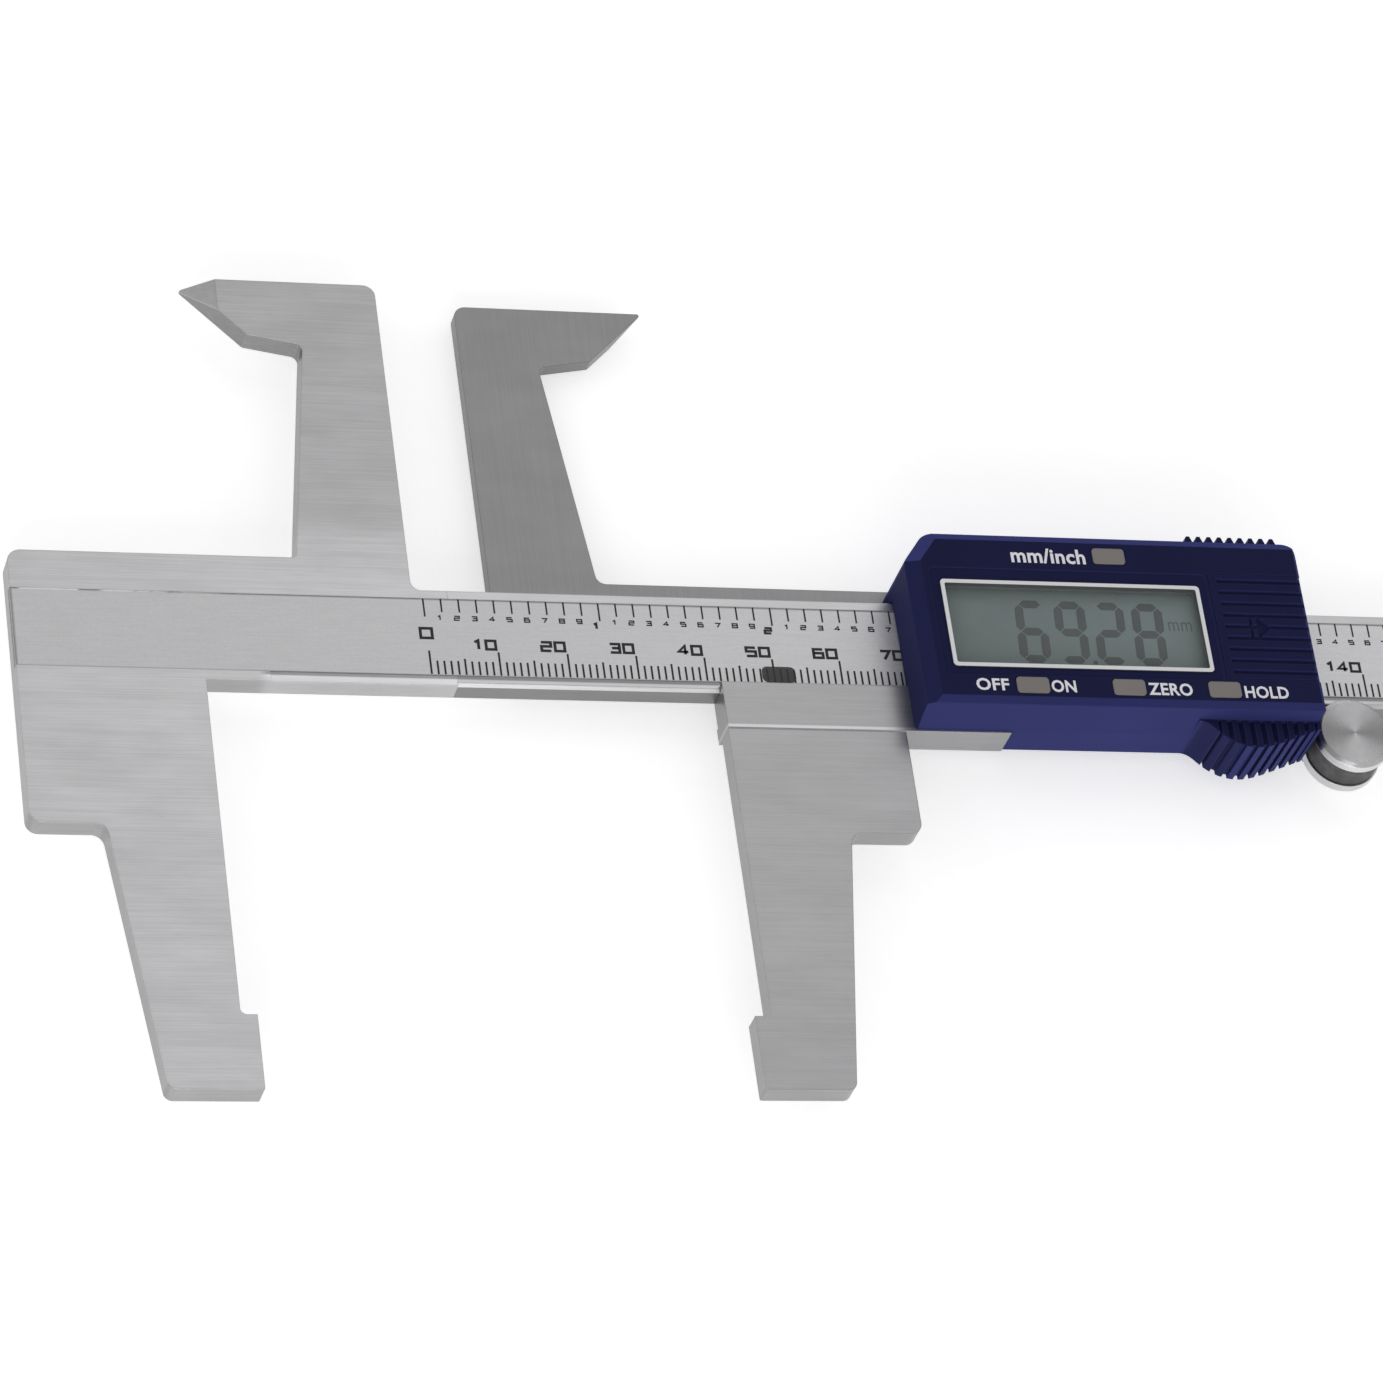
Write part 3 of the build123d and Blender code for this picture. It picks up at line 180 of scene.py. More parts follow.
def ground_steel(name, tone, grain="x", contrast=0.10, rough=0.34, side=0.58, lean=0.9, bands=(),
                 begin=-1.0, top=None):
    """Ground and brushed stainless steel with its lay along X or Y, with painted shade on its sides.

    Each band is painted highlight or painted shade: it changes the colour from one Y to another,
    by how much, for X beyond begin. The top band applies at every X.
    """
    b = fresh(name)
    fine = (70, 6400, 6400) if grain == "x" else (6400, 70, 6400)
    broad = (18, 1300, 1300) if grain == "x" else (1300, 18, 1300)
    hair = b.noise(b.spot(fine), 1.0, 4.0, 0.65)
    band = b.noise(b.spot(broad, (3, 5, 7)), 1.0, 3.0, 0.6)
    cloud = b.noise(b.spot((1, 2.5, 1), (11, 2, 5)), 75.0, 4.0, 0.6)
    rounded, near = b.edge(0.00020)
    shade = hair * 0.45 + band * 0.25 + cloud * 0.30
    dark = grey(tone * (1 - contrast))
    light = grey(min(0.95, tone * (1 + contrast)))
    colour = b.mix(b.ramp(shade, 0.34, 0.66), dark, light)
    x, y, z = b.axes(b.facing())
    # painted shade: faces that look sideways are darkened by the side factor, and faces that look towards -X
    # a little more
    sideways = 1.0 - b.ramp(b.maths("ABSOLUTE", z), 0.45, lean)
    level = 1.0 - sideways * (1.0 - side) - b.ramp(0.0 - x, 0.5, 0.9) * 0.12
    along, height = b.axes(b.spot())[:2]
    banded = 1.0
    # painted highlight and painted shade, in strips along Y
    for start, full, change in bands:
        banded = banded * (1.0 + b.ramp(height, start, full) * change)
    if bands:
        level = level * (1.0 + b.ramp(along, begin, begin + 0.002) * (banded - 1.0))
    if top:
        level = level * (1.0 + b.ramp(height, top[0], top[1]) * top[2])
    colour = b.scaled(colour, level)
    # painted highlight along the edges
    colour = b.mix(near * 0.40, colour, grey(min(0.95, tone * 1.30)))
    return b.surface({
        "Base Color": colour,
        "Metallic": 1.0,
        "Roughness": rough + (band - 0.5) * 0.10 + (hair - 0.5) * 0.08,
        "Normal": b.bump(hair + band * 0.5, 0.0000025, rounded),
    })


def turned_steel(name, tone, centre, rough=0.26):
    """Steel faced on a lathe: fine rings round a centre given in x and y, with a painted fan of highlight and
    shade round that centre.
    """
    b = fresh(name)
    x, y = b.axes(b.spot((1, 1, 1), (-centre[0], -centre[1], 0)))[:2]
    radius = b.maths("SQRT", x * x + y * y)
    flat = b.out(b.node("ShaderNodeCombineXYZ", {}, {0: x, 1: y, 2: 0.0}))
    outward = b.vector("NORMALIZE", flat)
    ring = b.maths("SINE", radius * (2 * math.pi / 0.00007))
    facing = b.facing()
    up = b.axes(facing)[2]
    rounded, near = b.edge(0.0002)
    lean = b.scaled(outward, ring * 0.30 * b.ramp(up, 0.6, 0.9))
    normal = b.vector("NORMALIZE", b.vector("ADD", rounded, lean))
    stain = b.noise(b.spot((1, 1, 1), (4, 1, 8)), 420.0, 3.0)
    colour = b.mix(stain, grey(tone * 0.86), grey(tone * 1.12))
    # painted reflection: the face is lighter above and below its centre and darker to either side, and this
    # fan turns with the part
    painted_fan = b.axes(outward)[1]
    colour = b.scaled(colour, 0.52 + painted_fan * painted_fan * 0.60)
    # painted highlight along the edges, broken up by noise
    wear_and_sheen = b.noise(b.spot((1, 1, 1), (2, 6, 1)), 1500.0, 2.0)
    colour = b.mix(near * b.ramp(wear_and_sheen, 0.35, 0.65) * 0.6, colour, grey(min(0.95, tone * 1.35)))
    return b.surface({
        "Base Color": colour,
        "Metallic": 1.0,
        "Roughness": rough + (stain - 0.5) * 0.08,
        "Normal": normal,
    })


def moulded(name, colour, light, rough=0.5, grain=0.000006, specular=0.12, side_light=1.0):
    """Moulded plastic with a fine spark-eroded grain, a painted highlight along its edges and painted light
    on its sides.
    """
    b = fresh(name)
    pits = b.noise(b.spot((1, 1, 1)), 5200.0, 2.0, 0.6)
    cloud = b.noise(b.spot((1, 1, 1), (6, 3, 1)), 90.0, 3.0)
    rounded, near = b.edge(0.00030)
    body = b.mix(cloud, (*[c * 0.9 for c in colour], 1), (*[c * 1.1 for c in colour], 1))
    x, y, z = b.axes(b.facing())
    # painted light: leaning faces are lightened by the lift factor, less where they look towards -X (painted
    # shade) and more where they also look towards +Y and up (painted sheen)
    leaning = b.ramp(1.0 - z, 0.012, 0.05)
    left_shade = b.ramp(0.0 - x, 0.15, 0.35) * (1.0 - b.ramp(y, 0.08, 0.22)) * 0.8
    above = b.ramp(y, 0.1, 0.3) * b.ramp(z, 0.3, 0.8)
    body = b.scaled(body, 1.0 + leaning * (side_light - 1.0) * (1.0 - left_shade) * (1.0 + above * 0.8))
    # painted highlight along the rounded edges
    body = b.mix(near * 0.45, body, (*light, 1))
    return b.surface({
        "Base Color": body,
        "Roughness": rough + (pits - 0.5) * 0.2 + (cloud - 0.5) * 0.1,
        "Specular IOR Level": specular,
        "Normal": b.bump(pits, grain, rounded),
    })


def printed_plate(name, tone, left_x, low_y, high_y):
    """Satin foil plate with a faint lay along X, in a groove that shades its long edges."""
    b = fresh(name)
    hair = b.noise(b.spot((160, 3600, 500)), 1.0, 4.0, 0.6)
    speck = b.noise(b.spot((1, 1, 1), (2, 9, 4)), 2600.0, 2.0)
    x, y = b.axes(b.spot())[:2]
    shade = hair * 0.5 + speck * 0.5
    colour = b.mix(b.ramp(shade, 0.3, 0.7), grey(tone * 0.95), grey(tone * 1.05))
    colour = b.scaled(colour, 1.0 + b.ramp(x, 0.0, 0.19) * 0.16)
    low_edge = (1.0 - b.ramp(y, low_y, low_y + 0.00020)) * 0.6
    left_edge = 1.0 - b.ramp(x, left_x + 0.0001, left_x + 0.00045)
    high_edge = b.ramp(y, high_y - 0.00034, high_y - 0.0001)
    shadow = b.maths("MAXIMUM", b.maths("MAXIMUM", low_edge, high_edge), left_edge)
    colour = b.scaled(colour, 1.0 - shadow * 0.5)
    broken = b.ramp(b.noise(b.spot((1, 0, 0), (8, 0, 0)), 260.0, 2.0), 0.40, 0.52)
    glint = high_edge * broken * (1.0 - b.ramp(x, -0.016, 0.008)) * (1.0 - left_edge)
    colour = b.mix(glint, colour, (1.0, 1.0, 1.0, 1.0))
    return b.surface({
        "Base Color": colour,
        "Metallic": 0.75,
        "Roughness": 0.46 + (speck - 0.5) * 0.1,
        "Normal": b.bump(shade, 0.0000015),
    })


def ink(name, colour, wear=0.25, rough=0.55):
    """Screen-printed ink, thinner in places."""
    b = fresh(name)
    wear_and_sheen = b.noise(b.spot((1, 1, 1), (1, 7, 3)), 2400.0, 3.0, 0.7)
    pale = tuple(min(1.0, c + 0.10) for c in colour)
    body = b.mix(b.ramp(wear_and_sheen, 0.45, 0.75) * wear, (*colour, 1), (*pale, 1))
    return b.surface({"Base Color": body, "Roughness": rough + (wear_and_sheen - 0.5) * 0.2, "Specular IOR Level": 0.2})


def display_glass(name, low, high):
    """Grey-green liquid-crystal glass, lighter towards its right end."""
    b = fresh(name)
    x, y = b.axes(b.spot())[:2]
    rise = b.ramp(x, low.x, high.x) * 0.7 + b.ramp(y, low.y, high.y) * 0.3
    grain = b.noise(b.spot((1, 1, 1), (3, 3, 3)), 1500.0, 2.0)
    body = b.mix(rise, (0.122, 0.160, 0.158, 1), (0.178, 0.236, 0.230, 1))
    body = b.mix(grain * 0.3, body, (0.125, 0.165, 0.160, 1))
    return b.surface({"Base Color": body, "Roughness": 0.32 + grain * 0.1, "Specular IOR Level": 0.3})


def clear_window(name):
    """Thin clear plastic over the display."""
    b = fresh(name)
    haze = b.noise(b.spot((1, 1, 1), (5, 5, 5)), 300.0, 2.0)
    return b.surface({
        "Base Color": (0.75, 0.82, 0.82, 1),
        "Roughness": 0.12 + haze * 0.08,
        "Alpha": 0.05 + haze * 0.03,
    })


def bezel_metal(name, tone):
    """Satin silver rim, with its inner walls in the shade of the display."""
    b = fresh(name)
    up = b.axes(b.facing())[2]
    speck = b.noise(b.spot((1, 1, 1)), 1800.0, 2.0)
    face = b.mix(speck, grey(tone * 0.94), grey(min(0.97, tone * 1.05)))
    body = b.mix(b.ramp(up, 0.3, 0.7), (0.10, 0.115, 0.11, 1), face)
    return b.surface({"Base Color": body, "Roughness": 0.42 + (speck - 0.5) * 0.1, "Metallic": 0.15})


def rubber(name):
    """Black rubber with a dusty bloom."""
    b = fresh(name)
    dust = b.noise(b.spot((1, 1, 1)), 700.0, 4.0, 0.6)
    rounded = b.edge(0.0002)[0]
    body = b.mix(b.ramp(dust, 0.4, 0.8), (0.045, 0.045, 0.047, 1), (0.100, 0.100, 0.100, 1))
    return b.surface({
        "Base Color": body,
        "Roughness": 0.62 + (dust - 0.5) * 0.2,
        "Normal": b.bump(dust, 0.00001, rounded),
    })


def laminate(name, mask, track):
    """Solder-masked circuit board with tracks under the mask."""
    b = fresh(name)
    x, y = b.axes(b.spot((1, 1, 1)))[:2]
    weave = b.maths("SINE", x * 5200.0) * b.maths("SINE", y * 5200.0)
    lanes = b.maths("SINE", (x + y) * 3100.0)
    where = b.noise(b.spot((1, 1, 1), (2, 4, 8)), 260.0, 1.0)
    tracks = b.ramp(lanes, 0.55, 0.75) * b.ramp(where, 0.48, 0.56)
    body = b.mix(tracks, mask, track)
    return b.surface({
        "Base Color": body,
        "Roughness": 0.34 + weave * 0.04,
        "Normal": b.bump(tracks, 0.00002),
    })


def spun_metal(name, colour, rough):
    """Small plated or brass parts with a fine random grain and a painted highlight along their edges."""
    b = fresh(name)
    grain = b.noise(b.spot((1, 1, 1)), 3200.0, 3.0, 0.6)
    cloud = b.noise(b.spot((1, 1, 1), (7, 1, 2)), 300.0, 3.0)
    rounded, near = b.edge(0.00015)
    body = b.mix(cloud, (*[c * 0.82 for c in colour], 1), (*[min(1, c * 1.12) for c in colour], 1))
    # painted highlight along the edges
    body = b.mix(near * 0.5, body, (*[min(1, c * 1.35) for c in colour], 1))
    return b.surface({
        "Base Color": body,
        "Metallic": 1.0,
        "Roughness": rough + (grain - 0.5) * 0.14,
        "Normal": b.bump(grain, 0.000003, rounded),
    })


roller_low, roller_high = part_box("roller_front_disc")
roller_centre = (roller_low + roller_high) / 2
panel_low, panel_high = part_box("lcd_panel")

plate_low, plate_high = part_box("scale_plate")
groove = plate_low.y
head_top = plate_high.y + 1.31 * MM
# painted highlight on the strip 0.7 to 1.55 mm below the scale plate's groove, and painted shade in the strip
# just under the groove
fixed_steel = ground_steel("fixed_steel_finish", 0.65, contrast=0.13, bands=(
    (groove - 1.75 * MM, groove - 1.55 * MM, 0.30),
    (groove - 0.70 * MM, groove - 0.45 * MM, -0.55),
    (groove - 0.12 * MM, groove + 0.02 * MM, 0.709),
), begin=0.005, top=(head_top + 5 * MM, head_top + 14 * MM, -0.22))
# painted shade from just under the scale plate's groove upwards, and darker painted shade on the beam's sides
beam_steel = ground_steel("beam_finish", 0.68, side=0.36, lean=0.66, bands=(
    (groove - 0.70 * MM, groove - 0.45 * MM, -0.55),
    (groove - 0.12 * MM, groove + 0.02 * MM, 1.222),
))
step_level = groove - 7.96 * MM
# painted highlight on a thin strip just above step_level, along the step between rail and leg
moving_steel = ground_steel("moving_steel_finish", 0.475, side=0.72, bands=(
    (step_level + 0.04 * MM, step_level + 0.12 * MM, 0.60),
    (step_level + 0.40 * MM, step_level + 0.65 * MM, -0.375),
))
blade_steel = ground_steel("upper_blade_finish", 0.315, grain="y", contrast=0.09, side=0.7)
# the last figure is how much painted light lightens the housing's sides
navy = moulded("navy_housing", (0.0135, 0.0155, 0.060), (0.055, 0.062, 0.21), 0.62, 0.000006, 0.045, 2.3)
key_grey = moulded("key_plastic", (0.23, 0.215, 0.205), (0.36, 0.34, 0.32), 0.45, 0.000003, 0.3)
black_ink = ink("black_print", (0.030, 0.031, 0.033))
white_ink = ink("white_print", (0.90, 0.90, 0.94), 0.1)
display = display_glass("display_glass", panel_low, panel_high)
screw_steel = spun_metal("screw_finish", (0.50, 0.50, 0.50), 0.30)
board_green = laminate("board_finish", (0.012, 0.085, 0.040, 1), (0.040, 0.190, 0.085, 1))
cell_steel = spun_metal("cell_finish", (0.58, 0.58, 0.57), 0.24)
roller_rubber = rubber("roller_rubber_finish")

finish_of = {
    "fixed_jaw": fixed_steel,
    "beam": beam_steel,
    "stator_strip": laminate("strip_finish", (0.020, 0.026, 0.022, 1), (0.045, 0.060, 0.050, 1)),
    "scale_plate": printed_plate("scale_plate_finish", 0.71, plate_low.x, plate_low.y, plate_high.y),
    "end_stop": screw_steel,
    "end_stop_screws": screw_steel,
    "moving_lower_jaw": moving_steel,
    "moving_upper_jaw": blade_steel,
    "jaw_screws": screw_steel,
    "top_guide": moving_steel,
    "gib_strip": spun_metal("gib_brass", (0.62, 0.45, 0.17), 0.34),
    "gib_set_screws": screw_steel,
    "housing_front": navy,
    "housing_back": navy,
    "battery_door": navy,
    "housing_screws": screw_steel,
    "lcd_bezel": bezel_metal("bezel_finish", 0.84),
    "lcd_window": clear_window("window_finish"),
    "lcd_panel": display,
    "zebra_strips": roller_rubber,
    "main_board": board_green,
    "pickup_board": board_green,
    "controller_chip": moulded("chip_finish", (0.018, 0.018, 0.019), (0.06, 0.06, 0.06)),
    "key_domes": cell_steel,
    "button_cell": cell_steel,
    "cell_contact_negative": cell_steel,
    "cell_contact_positive": cell_steel,
    "roller_front_disc": turned_steel("turned_disc_finish", 0.62, roller_centre),
    "roller_back_disc": spun_metal("back_disc_finish", (0.62, 0.62, 0.62), 0.30),
    "roller_tyre": roller_rubber,
    "roller_axle": screw_steel,
    "roller_bracket": spun_metal("bracket_finish", (0.34, 0.34, 0.36), 0.36),
    "bracket_screws": screw_steel,
    "key_mm_inch": key_grey,
    "key_off_on": key_grey,
    "key_zero": key_grey,
    "key_hold": key_grey,
}
for node_name, finish in finish_of.items():
    node = nodes[node_name]
    node.data.materials.clear()
    node.data.materials.append(finish)


def part(name, mesh, finish, body):
    """A finished piece at the origin that rides on a body."""
    made = bpy.data.objects.new(name, mesh)
    bpy.context.scene.collection.objects.link(made)
    mesh.materials.clear()
    mesh.materials.append(finish)
    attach(made, body)
    return made


def flat_mesh(name, outlines, level):
    """Flat faces that look along +Z, each outline a list of (x, y) in metres."""
    points = []
    faces = []
    for outline in outlines:
        start = len(points)
        points += [(x, y, level) for x, y in outline]
        faces.append(list(range(start, len(points))))
    mesh = bpy.data.meshes.new(name)
    mesh.from_pydata(points, [], faces)
    for polygon in mesh.polygons:
        if polygon.normal.z < 0:
            polygon.flip()
    mesh.update()
    return mesh


# ---- printed divisions

def tree_inputs(tree, inputs):
    """Adds named inputs to a geometry tree, each with its kind and value."""
    for name, (kind, value) in inputs.items():
        made = tree.interface.new_socket(name, in_out="INPUT", socket_type=kind)
        if value is not None:
            made.default_value = value


class TreeBench(Bench):
    """The same helpers, for a geometry tree."""

    def __init__(self, tree):
        self.owner = tree
        self.tree = tree


def divisions_tree():
    """A row of division lines: short, with longer ones at given counts."""
    tree = bpy.data.node_groups.new("division_row", "GeometryNodeTree")
    tree_inputs(tree, {
        "Geometry": ("NodeSocketGeometry", None),
        "Count": ("NodeSocketInt", 10),
        "Pitch": ("NodeSocketFloat", 0.001),
        "Start": ("NodeSocketVector", (0, 0, 0)),
        "Width": ("NodeSocketFloat", 0.0002),
        "Short": ("NodeSocketFloat", 0.002),
        "Middle": ("NodeSocketFloat", 0.003),
        "Long": ("NodeSocketFloat", 0.004),
        "Middle Every": ("NodeSocketInt", 5),
        "Long Every": ("NodeSocketInt", 10),
        "Side": ("NodeSocketFloat", 1.0),
        "Ink": ("NodeSocketMaterial", None),
    })
    tree.interface.new_socket("Geometry", in_out="OUTPUT", socket_type="NodeSocketGeometry")
    b = TreeBench(tree)
    given = b.node("NodeGroupInput", {}, {})
    need = {name: b.out(given, name) for name in (
        "Count", "Pitch", "Start", "Width", "Short", "Middle", "Long", "Middle Every", "Long Every", "Side",
        "Ink")}
    step = b.out(b.node("ShaderNodeCombineXYZ", {}, {0: need["Pitch"], 1: 0.0, 2: 0.0}))
    line = b.node("GeometryNodeMeshLine", {"mode": "OFFSET"}, {
        "Count": need["Count"], "Start Location": need["Start"], "Offset": step})
    index = b.out(b.node("GeometryNodeInputIndex", {}, {}))
    is_long = b.maths("COMPARE", b.maths("MODULO", index, need["Long Every"]), 0.0)
    is_middle = b.maths("COMPARE", b.maths("MODULO", index, need["Middle Every"]), 0.0)
    length = need["Short"] + is_middle * (need["Middle"] - need["Short"])
    length = length + is_long * (need["Long"] - need["Middle"])
    bar = b.node("GeometryNodeMeshGrid", {}, {"Size X": 1.0, "Size Y": 1.0, "Vertices X": 2, "Vertices Y": 2})
    raised = b.node("GeometryNodeTransform", {}, {"Geometry": b.out(bar, "Mesh"), "Translation": (0, 0.5, 0)})
    size = b.out(b.node("ShaderNodeCombineXYZ", {}, {0: need["Width"], 1: length, 2: 1.0}))
    flip = b.maths("MULTIPLY", b.maths("SUBTRACT", 1.0, need["Side"]), math.pi / 2)
    turn = b.out(b.node("ShaderNodeCombineXYZ", {}, {0: 0.0, 1: 0.0, 2: flip}))
    bars = b.node("GeometryNodeInstanceOnPoints", {}, {
        "Points": b.out(line), "Instance": b.out(raised), "Rotation": turn, "Scale": size})
    real = b.node("GeometryNodeRealizeInstances", {}, {"Geometry": b.out(bars)})
    inked = b.node("GeometryNodeSetMaterial", {}, {"Geometry": b.out(real), "Material": need["Ink"]})
    b.node("NodeGroupOutput", {}, {0: b.out(inked)})
    return tree


def grown(name, tree, values):
    """Runs a geometry tree with its inputs set, and returns the plain mesh."""
    seed = bpy.data.objects.new(name + "_seed", bpy.data.meshes.new(name + "_seed"))
    bpy.context.scene.collection.objects.link(seed)
    modifier = seed.modifiers.new("grow", "NODES")
    modifier.node_group = tree
    for item in tree.interface.items_tree:
        if item.item_type == "SOCKET" and item.in_out == "INPUT" and item.name in values:
            modifier[item.identifier] = values[item.name]
    graph = bpy.context.evaluated_depsgraph_get()
    mesh = bpy.data.meshes.new_from_object(seed.evaluated_get(graph))
    bpy.data.objects.remove(seed)
    mesh.name = name
    return mesh


house_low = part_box("housing_front")[0]
print_level = plate_high.z + 0.012 * MM
SCALE_ZERO = 0.0299
MM_LAST = 210
INCH_LAST = 82
TENTH_INCH = 0.00254
division_row = divisions_tree()
rows = {
    "millimetre_divisions": {
        "Count": MM_LAST + 1, "Pitch": 0.001, "Start": (SCALE_ZERO, plate_low.y + 0.12 * MM, print_level),
        "Width": 0.29 * MM, "Short": 2.2 * MM, "Middle": 2.6 * MM, "Long": 3.8 * MM,
        "Middle Every": 5, "Long Every": 10, "Side": 1.0, "Ink": black_ink,
    },
    "inch_divisions": {
        "Count": INCH_LAST + 1, "Pitch": TENTH_INCH, "Start": (SCALE_ZERO, plate_high.y, print_level),
        "Width": 0.25 * MM, "Short": 2.15 * MM, "Middle": 2.95 * MM, "Long": 2.95 * MM,
        "Middle Every": 10, "Long Every": 10, "Side": -1.0, "Ink": black_ink,
    },
}
for row_name, row_values in rows.items():
    part(row_name, grown(row_name, division_row, row_values), black_ink, "frame")

# ---- scale figures, drawn with a square pen

FIGURES = {
    "0": [[(0, 0), (1, 0), (1, 1), (0, 1), (0, 0)]],
    "1": [[(0.25, 0.8), (0.65, 1), (0.65, 0)]],
    "2": [[(0, 1), (1, 1), (1, 0.52), (0, 0.52), (0, 0), (1, 0)]],
    "3": [[(0, 1), (1, 1), (1, 0), (0, 0)], [(0.2, 0.52), (0.92, 0.52)]],
    "4": [[(0.72, 0), (0.72, 1), (0, 0.3), (1.05, 0.3)]],
    "5": [[(1, 1), (0, 1), (0, 0.55), (1, 0.55), (1, 0), (0, 0)]],
    "6": [[(1, 1), (0, 1), (0, 0), (1, 0), (1, 0.55), (0.08, 0.55)]],
    "7": [[(0, 1), (1, 1), (0.4, 0)]],
    "8": [[(0, 0), (1, 0), (1, 1), (0, 1), (0, 0)], [(0.08, 0.52), (0.92, 0.52)]],
    "9": [[(0, 0), (1, 0), (1, 1), (0, 1), (0, 0.45), (0.92, 0.45)]],
}


def pen_line(points, width):
    """Quads along a line of points, mitred at its corners."""
    closed = points[0] == points[-1]
    points = [Vector(p) for p in (points[:-1] if closed else points)]
    count = len(points)
    sides = []
    for number, point in enumerate(points):
        before = points[number - 1] if closed or number else None
        after = points[(number + 1) % count] if closed or number < count - 1 else None
        came = (point - before).normalized() if before is not None else (after - point).normalized()
        goes = (after - point).normalized() if after is not None else came
        across = Vector((-(came.y + goes.y), came.x + goes.x)).normalized()
        reach = width / 2 / max(0.5, across.dot(Vector((-goes.y, goes.x))))
        sides.append((point + across * reach, point - across * reach))
    quads = []
    for number in range(count if closed else count - 1):
        a, c = sides[number], sides[(number + 1) % count]
        quads.append([tuple(a[0]), tuple(a[1]), tuple(c[1]), tuple(c[0])])
    return quads


def figures(text, right, low, wide, tall, pen, gap):
    """Outlines of a number that ends at x = right."""
    outlines = []
    left = right - len(text) * wide - (len(text) - 1) * gap
    for number, figure in enumerate(text):
        start = left + number * (wide + gap) + pen / 2
        for stroke in FIGURES[figure]:
            placed = [(start + x * (wide - pen), low + pen / 2 + y * (tall - pen)) for x, y in stroke]
            outlines += pen_line(placed, pen)
    return outlines


# width, height and pen of each kind of figure, in millimetres
ZERO_FIGURE = (2.1, 2.0, 0.44)
TENS_FIGURE = (1.80, 1.82, 0.43)
TENTH_FIGURE = (0.92, 0.86, 0.21)
INCH_FIGURE = (1.3, 1.22, 0.36)
TENS_GAP = 0.18 * MM


def sized(figure):
    return [size * MM for size in figure]


numbers = figures("0", SCALE_ZERO + 0.95 * MM, plate_low.y + 5.75 * MM, *sized(ZERO_FIGURE), 0)
for tens in range(1, MM_LAST // 10 + 1):
    right = SCALE_ZERO + tens * 0.01 - 0.08 * MM
    low = plate_low.y + 4.15 * MM
    numbers += figures(str(10 * tens), right, low, *sized(TENS_FIGURE), TENS_GAP)
for tenths in range(1, INCH_LAST + 1):
    place = SCALE_ZERO + tenths * TENTH_INCH
    if tenths % 10:
        low = plate_low.y + 8.88 * MM
        numbers += figures(str(tenths % 10), place - 0.02 * MM, low, *sized(TENTH_FIGURE), 0)
    else:
        low = plate_low.y + 8.02 * MM
        numbers += figures(str(tenths // 10), place - 0.1 * MM, low, *sized(INCH_FIGURE), 0)
part("scale_figures", flat_mesh("scale_figures", numbers, print_level), black_ink, "frame")


def round_box(x0, x1, y0, y1, radius, steps=6):
    """Outline of a box with round corners."""
    outline = []
    for cx, cy, start in ((x1 - radius, y1 - radius, 0), (x0 + radius, y1 - radius, 90),
                          (x0 + radius, y0 + radius, 180), (x1 - radius, y0 + radius, 270)):
        for step in range(steps + 1):
            turn = math.radians(start + 90 * step / steps)
            outline.append((cx + radius * math.cos(turn), cy + radius * math.sin(turn)))
    return outline


# ---- dark mark printed over the fifties

mark = round_box(SCALE_ZERO + 48.2 * MM, SCALE_ZERO + 53.2 * MM, plate_low.y + 0.08 * MM,
                 plate_low.y + 2.70 * MM, 0.85 * MM)
stain = fresh("dark_mark_finish")
blotch = stain.noise(stain.spot((1, 1, 1)), 900.0, 2.0)
stain.surface({
    "Base Color": stain.mix(blotch, (0.022, 0.022, 0.023, 1), (0.05, 0.05, 0.05, 1)),
    "Roughness": 0.45 + blotch * 0.1,
    "Alpha": 0.74 + blotch * 0.1,
})
part("dark_mark", flat_mesh("dark_mark", [mark], print_level + 0.01 * MM), stain.owner,
     "frame")

# ---- lettering on the housing


def lettering(name, text, x0, x1, y0, y1, level, finish, body, weight=0.026):
    """Plain lettering in the default face, fitted to a box."""
    data = bpy.data.curves.new(name, "FONT")
    data.body = text
    data.offset = weight
    data.resolution_u = 3
    data.space_character = 1.05
    made = bpy.data.objects.new(name, data)
    bpy.context.scene.collection.objects.link(made)
    graph = bpy.context.evaluated_depsgraph_get()
    mesh = bpy.data.meshes.new_from_object(made.evaluated_get(graph))
    bpy.data.objects.remove(made)
    xs = [v.co.x for v in mesh.vertices]
    ys = [v.co.y for v in mesh.vertices]
    for vertex in mesh.vertices:
        vertex.co.x = x0 + (vertex.co.x - min(xs)) / (max(xs) - min(xs)) * (x1 - x0)
        vertex.co.y = y0 + (vertex.co.y - min(ys)) / (max(ys) - min(ys)) * (y1 - y0)
        vertex.co.z = level
    mesh.update()
    return part(name, mesh, finish, body)


face_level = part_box("battery_door")[1].z + 0.015 * MM
labels = {
    "mm_inch_lettering": ("mm/inch", 16.0, 27.3, 75.35, 77.85),
    "off_lettering": ("OFF", 7.45, 12.35, 53.95, 55.95),
    "on_lettering": ("ON", 18.7, 22.4, 53.9, 55.9),
    "zero_lettering": ("ZERO", 33.3, 40.0, 53.8, 55.85),
    "hold_lettering": ("HOLD", 47.95, 54.65, 53.7, 55.7),
}
for label, (text, x0, x1, y0, y1) in labels.items():
    left = house_low.x
    lettering(label, text, left + x0 * MM, left + x1 * MM, y0 * MM, y1 * MM, face_level, white_ink,
              "slide")

# ---- display figures

SEGMENTS = {"6": "afedcg", "9": "gfabcd", "2": "abged", "8": "abcdefg"}


def segment(a, c, thick):
    """A pointed bar from one point to another."""
    a, c = Vector(a), Vector(c)
    along = (c - a).normalized()
    across = Vector((-along.y, along.x)) * thick / 2
    tip = along * thick / 2
    gap = along * 0.11 * MM
    a, c = a + gap, c - gap
    return [tuple(p) for p in (a, a + tip + across, c - tip + across, c, c - tip - across, a + tip - across)]


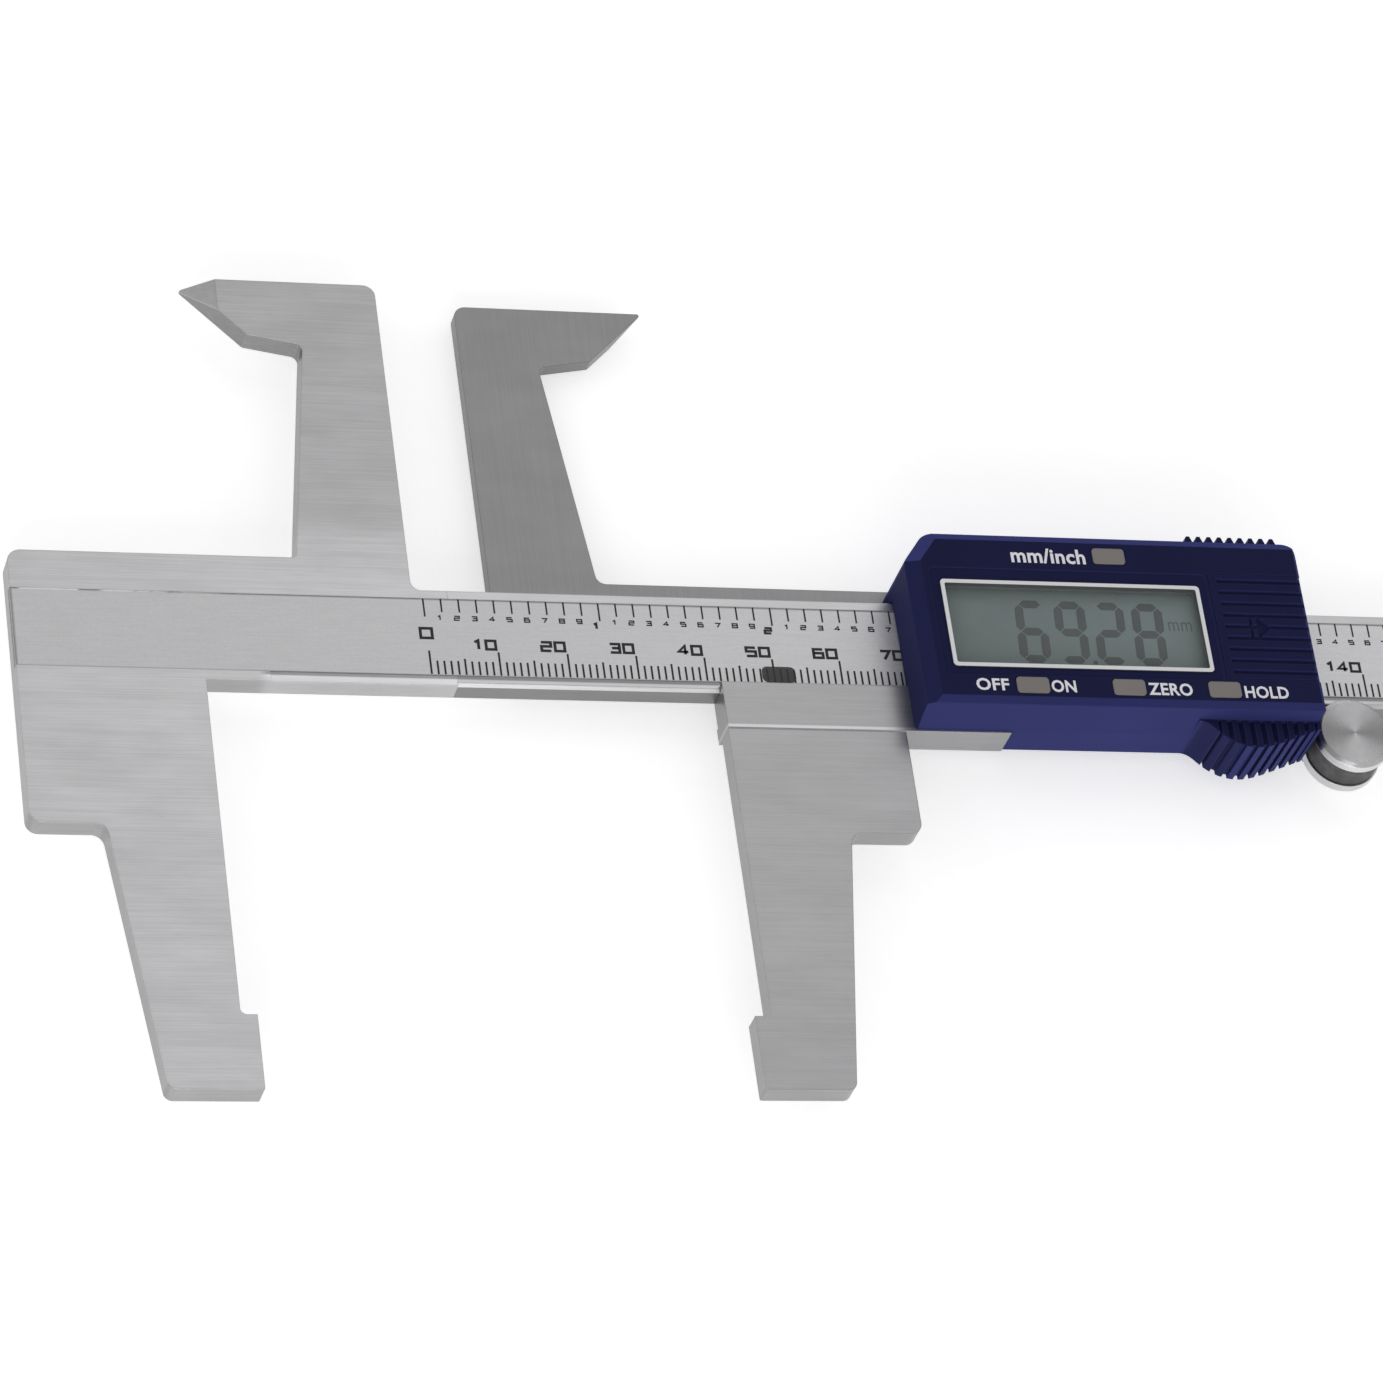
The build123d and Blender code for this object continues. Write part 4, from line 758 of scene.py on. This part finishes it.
def display_figure(figure, left, low, wide, tall, thick, lean):
    """The lit bars of one seven-bar figure."""
    half = thick / 2
    x0, x1 = left + half, left + wide - half
    y0, y1 = low + half, low + tall - half
    mid = (y0 + y1) / 2
    bars = {
        "a": ((x0, y1), (x1, y1)), "b": ((x1, mid), (x1, y1)), "c": ((x1, y0), (x1, mid)),
        "d": ((x0, y0), (x1, y0)), "e": ((x0, y0), (x0, mid)), "f": ((x0, mid), (x0, y1)),
        "g": ((x0, mid), (x1, mid)),
    }
    outlines = []
    for letter in SEGMENTS[figure]:
        bar = segment(*bars[letter], thick)
        outlines.append([(x + (y - low) * lean, y) for x, y in bar])
    return outlines


DIGIT_WIDE = 4.75 * MM
DIGIT_TALL = 10.4 * MM
DIGIT_THICK = 1.30 * MM
DIGIT_LEAN = 0.05
POINT_SIZE = 0.6 * MM
digit_low = plate_low.y + 0.75 * MM
lit = []
for figure, left in (("6", 15.6), ("9", 21.5), ("2", 27.4), ("8", 33.3)):
    lit += display_figure(figure, house_low.x + left * MM, digit_low, DIGIT_WIDE, DIGIT_TALL, DIGIT_THICK,
                          DIGIT_LEAN)
point_x = house_low.x + 26.65 * MM
lit.append([(point_x, digit_low), (point_x + POINT_SIZE, digit_low),
            (point_x + POINT_SIZE, digit_low + POINT_SIZE), (point_x, digit_low + POINT_SIZE)])
lcd_ink = ink("display_figure_finish", (0.034, 0.042, 0.045), 0.1, 0.4)
digit_level = panel_high.z + 0.02 * MM
part("display_figures", flat_mesh("display_figures", lit, digit_level), lcd_ink, "slide")
faint_ink = ink("display_unit_finish", (0.060, 0.078, 0.075), 0.1, 0.4)
lettering("display_unit", "mm", house_low.x + 39.1 * MM, house_low.x + 42.7 * MM, plate_low.y + 6.7 * MM,
          plate_low.y + 8.25 * MM, digit_level, faint_ink, "slide", 0.0)

# ---- studio

floor_level = cad_box[0].z - 0.02 * MM
floor_mesh = bpy.data.meshes.new("floor")
FLOOR_REACH = 3
floor_corners = [(x * FLOOR_REACH, y * FLOOR_REACH, floor_level)
                 for x, y in ((-1, -1), (1, -1), (1, 1), (-1, 1))]
floor_mesh.from_pydata(floor_corners, [], [(0, 1, 2, 3)])
floor = bpy.data.objects.new("floor", floor_mesh)
bpy.context.scene.collection.objects.link(floor)
paper = fresh("floor_paper")
fibre = paper.noise(paper.spot((1, 1, 1)), 300.0, 3.0)
paper.surface({
    "Base Color": paper.mix(fibre, (0.90, 0.90, 0.90, 1), (0.93, 0.93, 0.93, 1)),
    "Roughness": 0.9,
    "Emission Color": (1, 1, 1, 1),
    "Emission Strength": 0.48,
    "Specular IOR Level": 0.0,
})
floor_mesh.materials.append(paper.owner)

sky = Bench(bpy.data.worlds.new("studio"))
bpy.context.scene.world = sky.owner
direction = sky.out(sky.node("ShaderNodeTexCoord", {}, {}), "Generated")
high = sky.ramp(sky.axes(direction)[2], 0.1, 0.95)
glow = sky.mix(high, (1.0, 1.0, 1.0, 1), (0.55, 0.55, 0.56, 1))
backdrop = sky.node("ShaderNodeBackground", {}, {"Color": glow, "Strength": 0.75})
sky.node("ShaderNodeOutputWorld", {}, {"Surface": sky.out(backdrop)})


def softbox(name, place, aim, size, power):
    """A square area light that looks at a point."""
    data = bpy.data.lights.new(name, "AREA")
    data.shape = "SQUARE"
    data.size = size
    data.energy = power
    made = bpy.data.objects.new(name, data)
    bpy.context.scene.collection.objects.link(made)
    made.location = place
    made.rotation_euler = (Vector(aim) - Vector(place)).to_track_quat("-Z", "Y").to_euler()


middle = (0.08, 0.05, 0.0)
softbox("front_box", (-0.1, -1.3, 0.55), middle, 0.9, 5.0)
softbox("top_box", (0.45, 0.75, 1.2), middle, 0.7, 0.8)
softbox("left_box", (-1.1, 0.2, 0.6), middle, 0.6, 1.2)

camera_data = bpy.data.cameras.new("camera")
camera_data.lens = 167.58
camera_data.sensor_width = 36.0
camera_data.clip_start = 0.05
camera_data.clip_end = 20.0
camera = bpy.data.objects.new("camera", camera_data)
bpy.context.scene.collection.objects.link(camera)
camera_place = Vector((-0.19074, -0.38851, 0.74452))
right_axis = Vector((0.95813, -0.1264, 0.25692))
up_axis = Vector((-0.0229, 0.86059, 0.50879))
back_axis = Vector((-0.28541, -0.49337, 0.82166))
turned = Matrix((right_axis, up_axis, back_axis)).transposed().to_4x4()
camera.matrix_world = Matrix.Translation(camera_place) @ turned
bpy.context.scene.camera = camera
bpy.context.scene.view_settings.view_transform = "Standard"
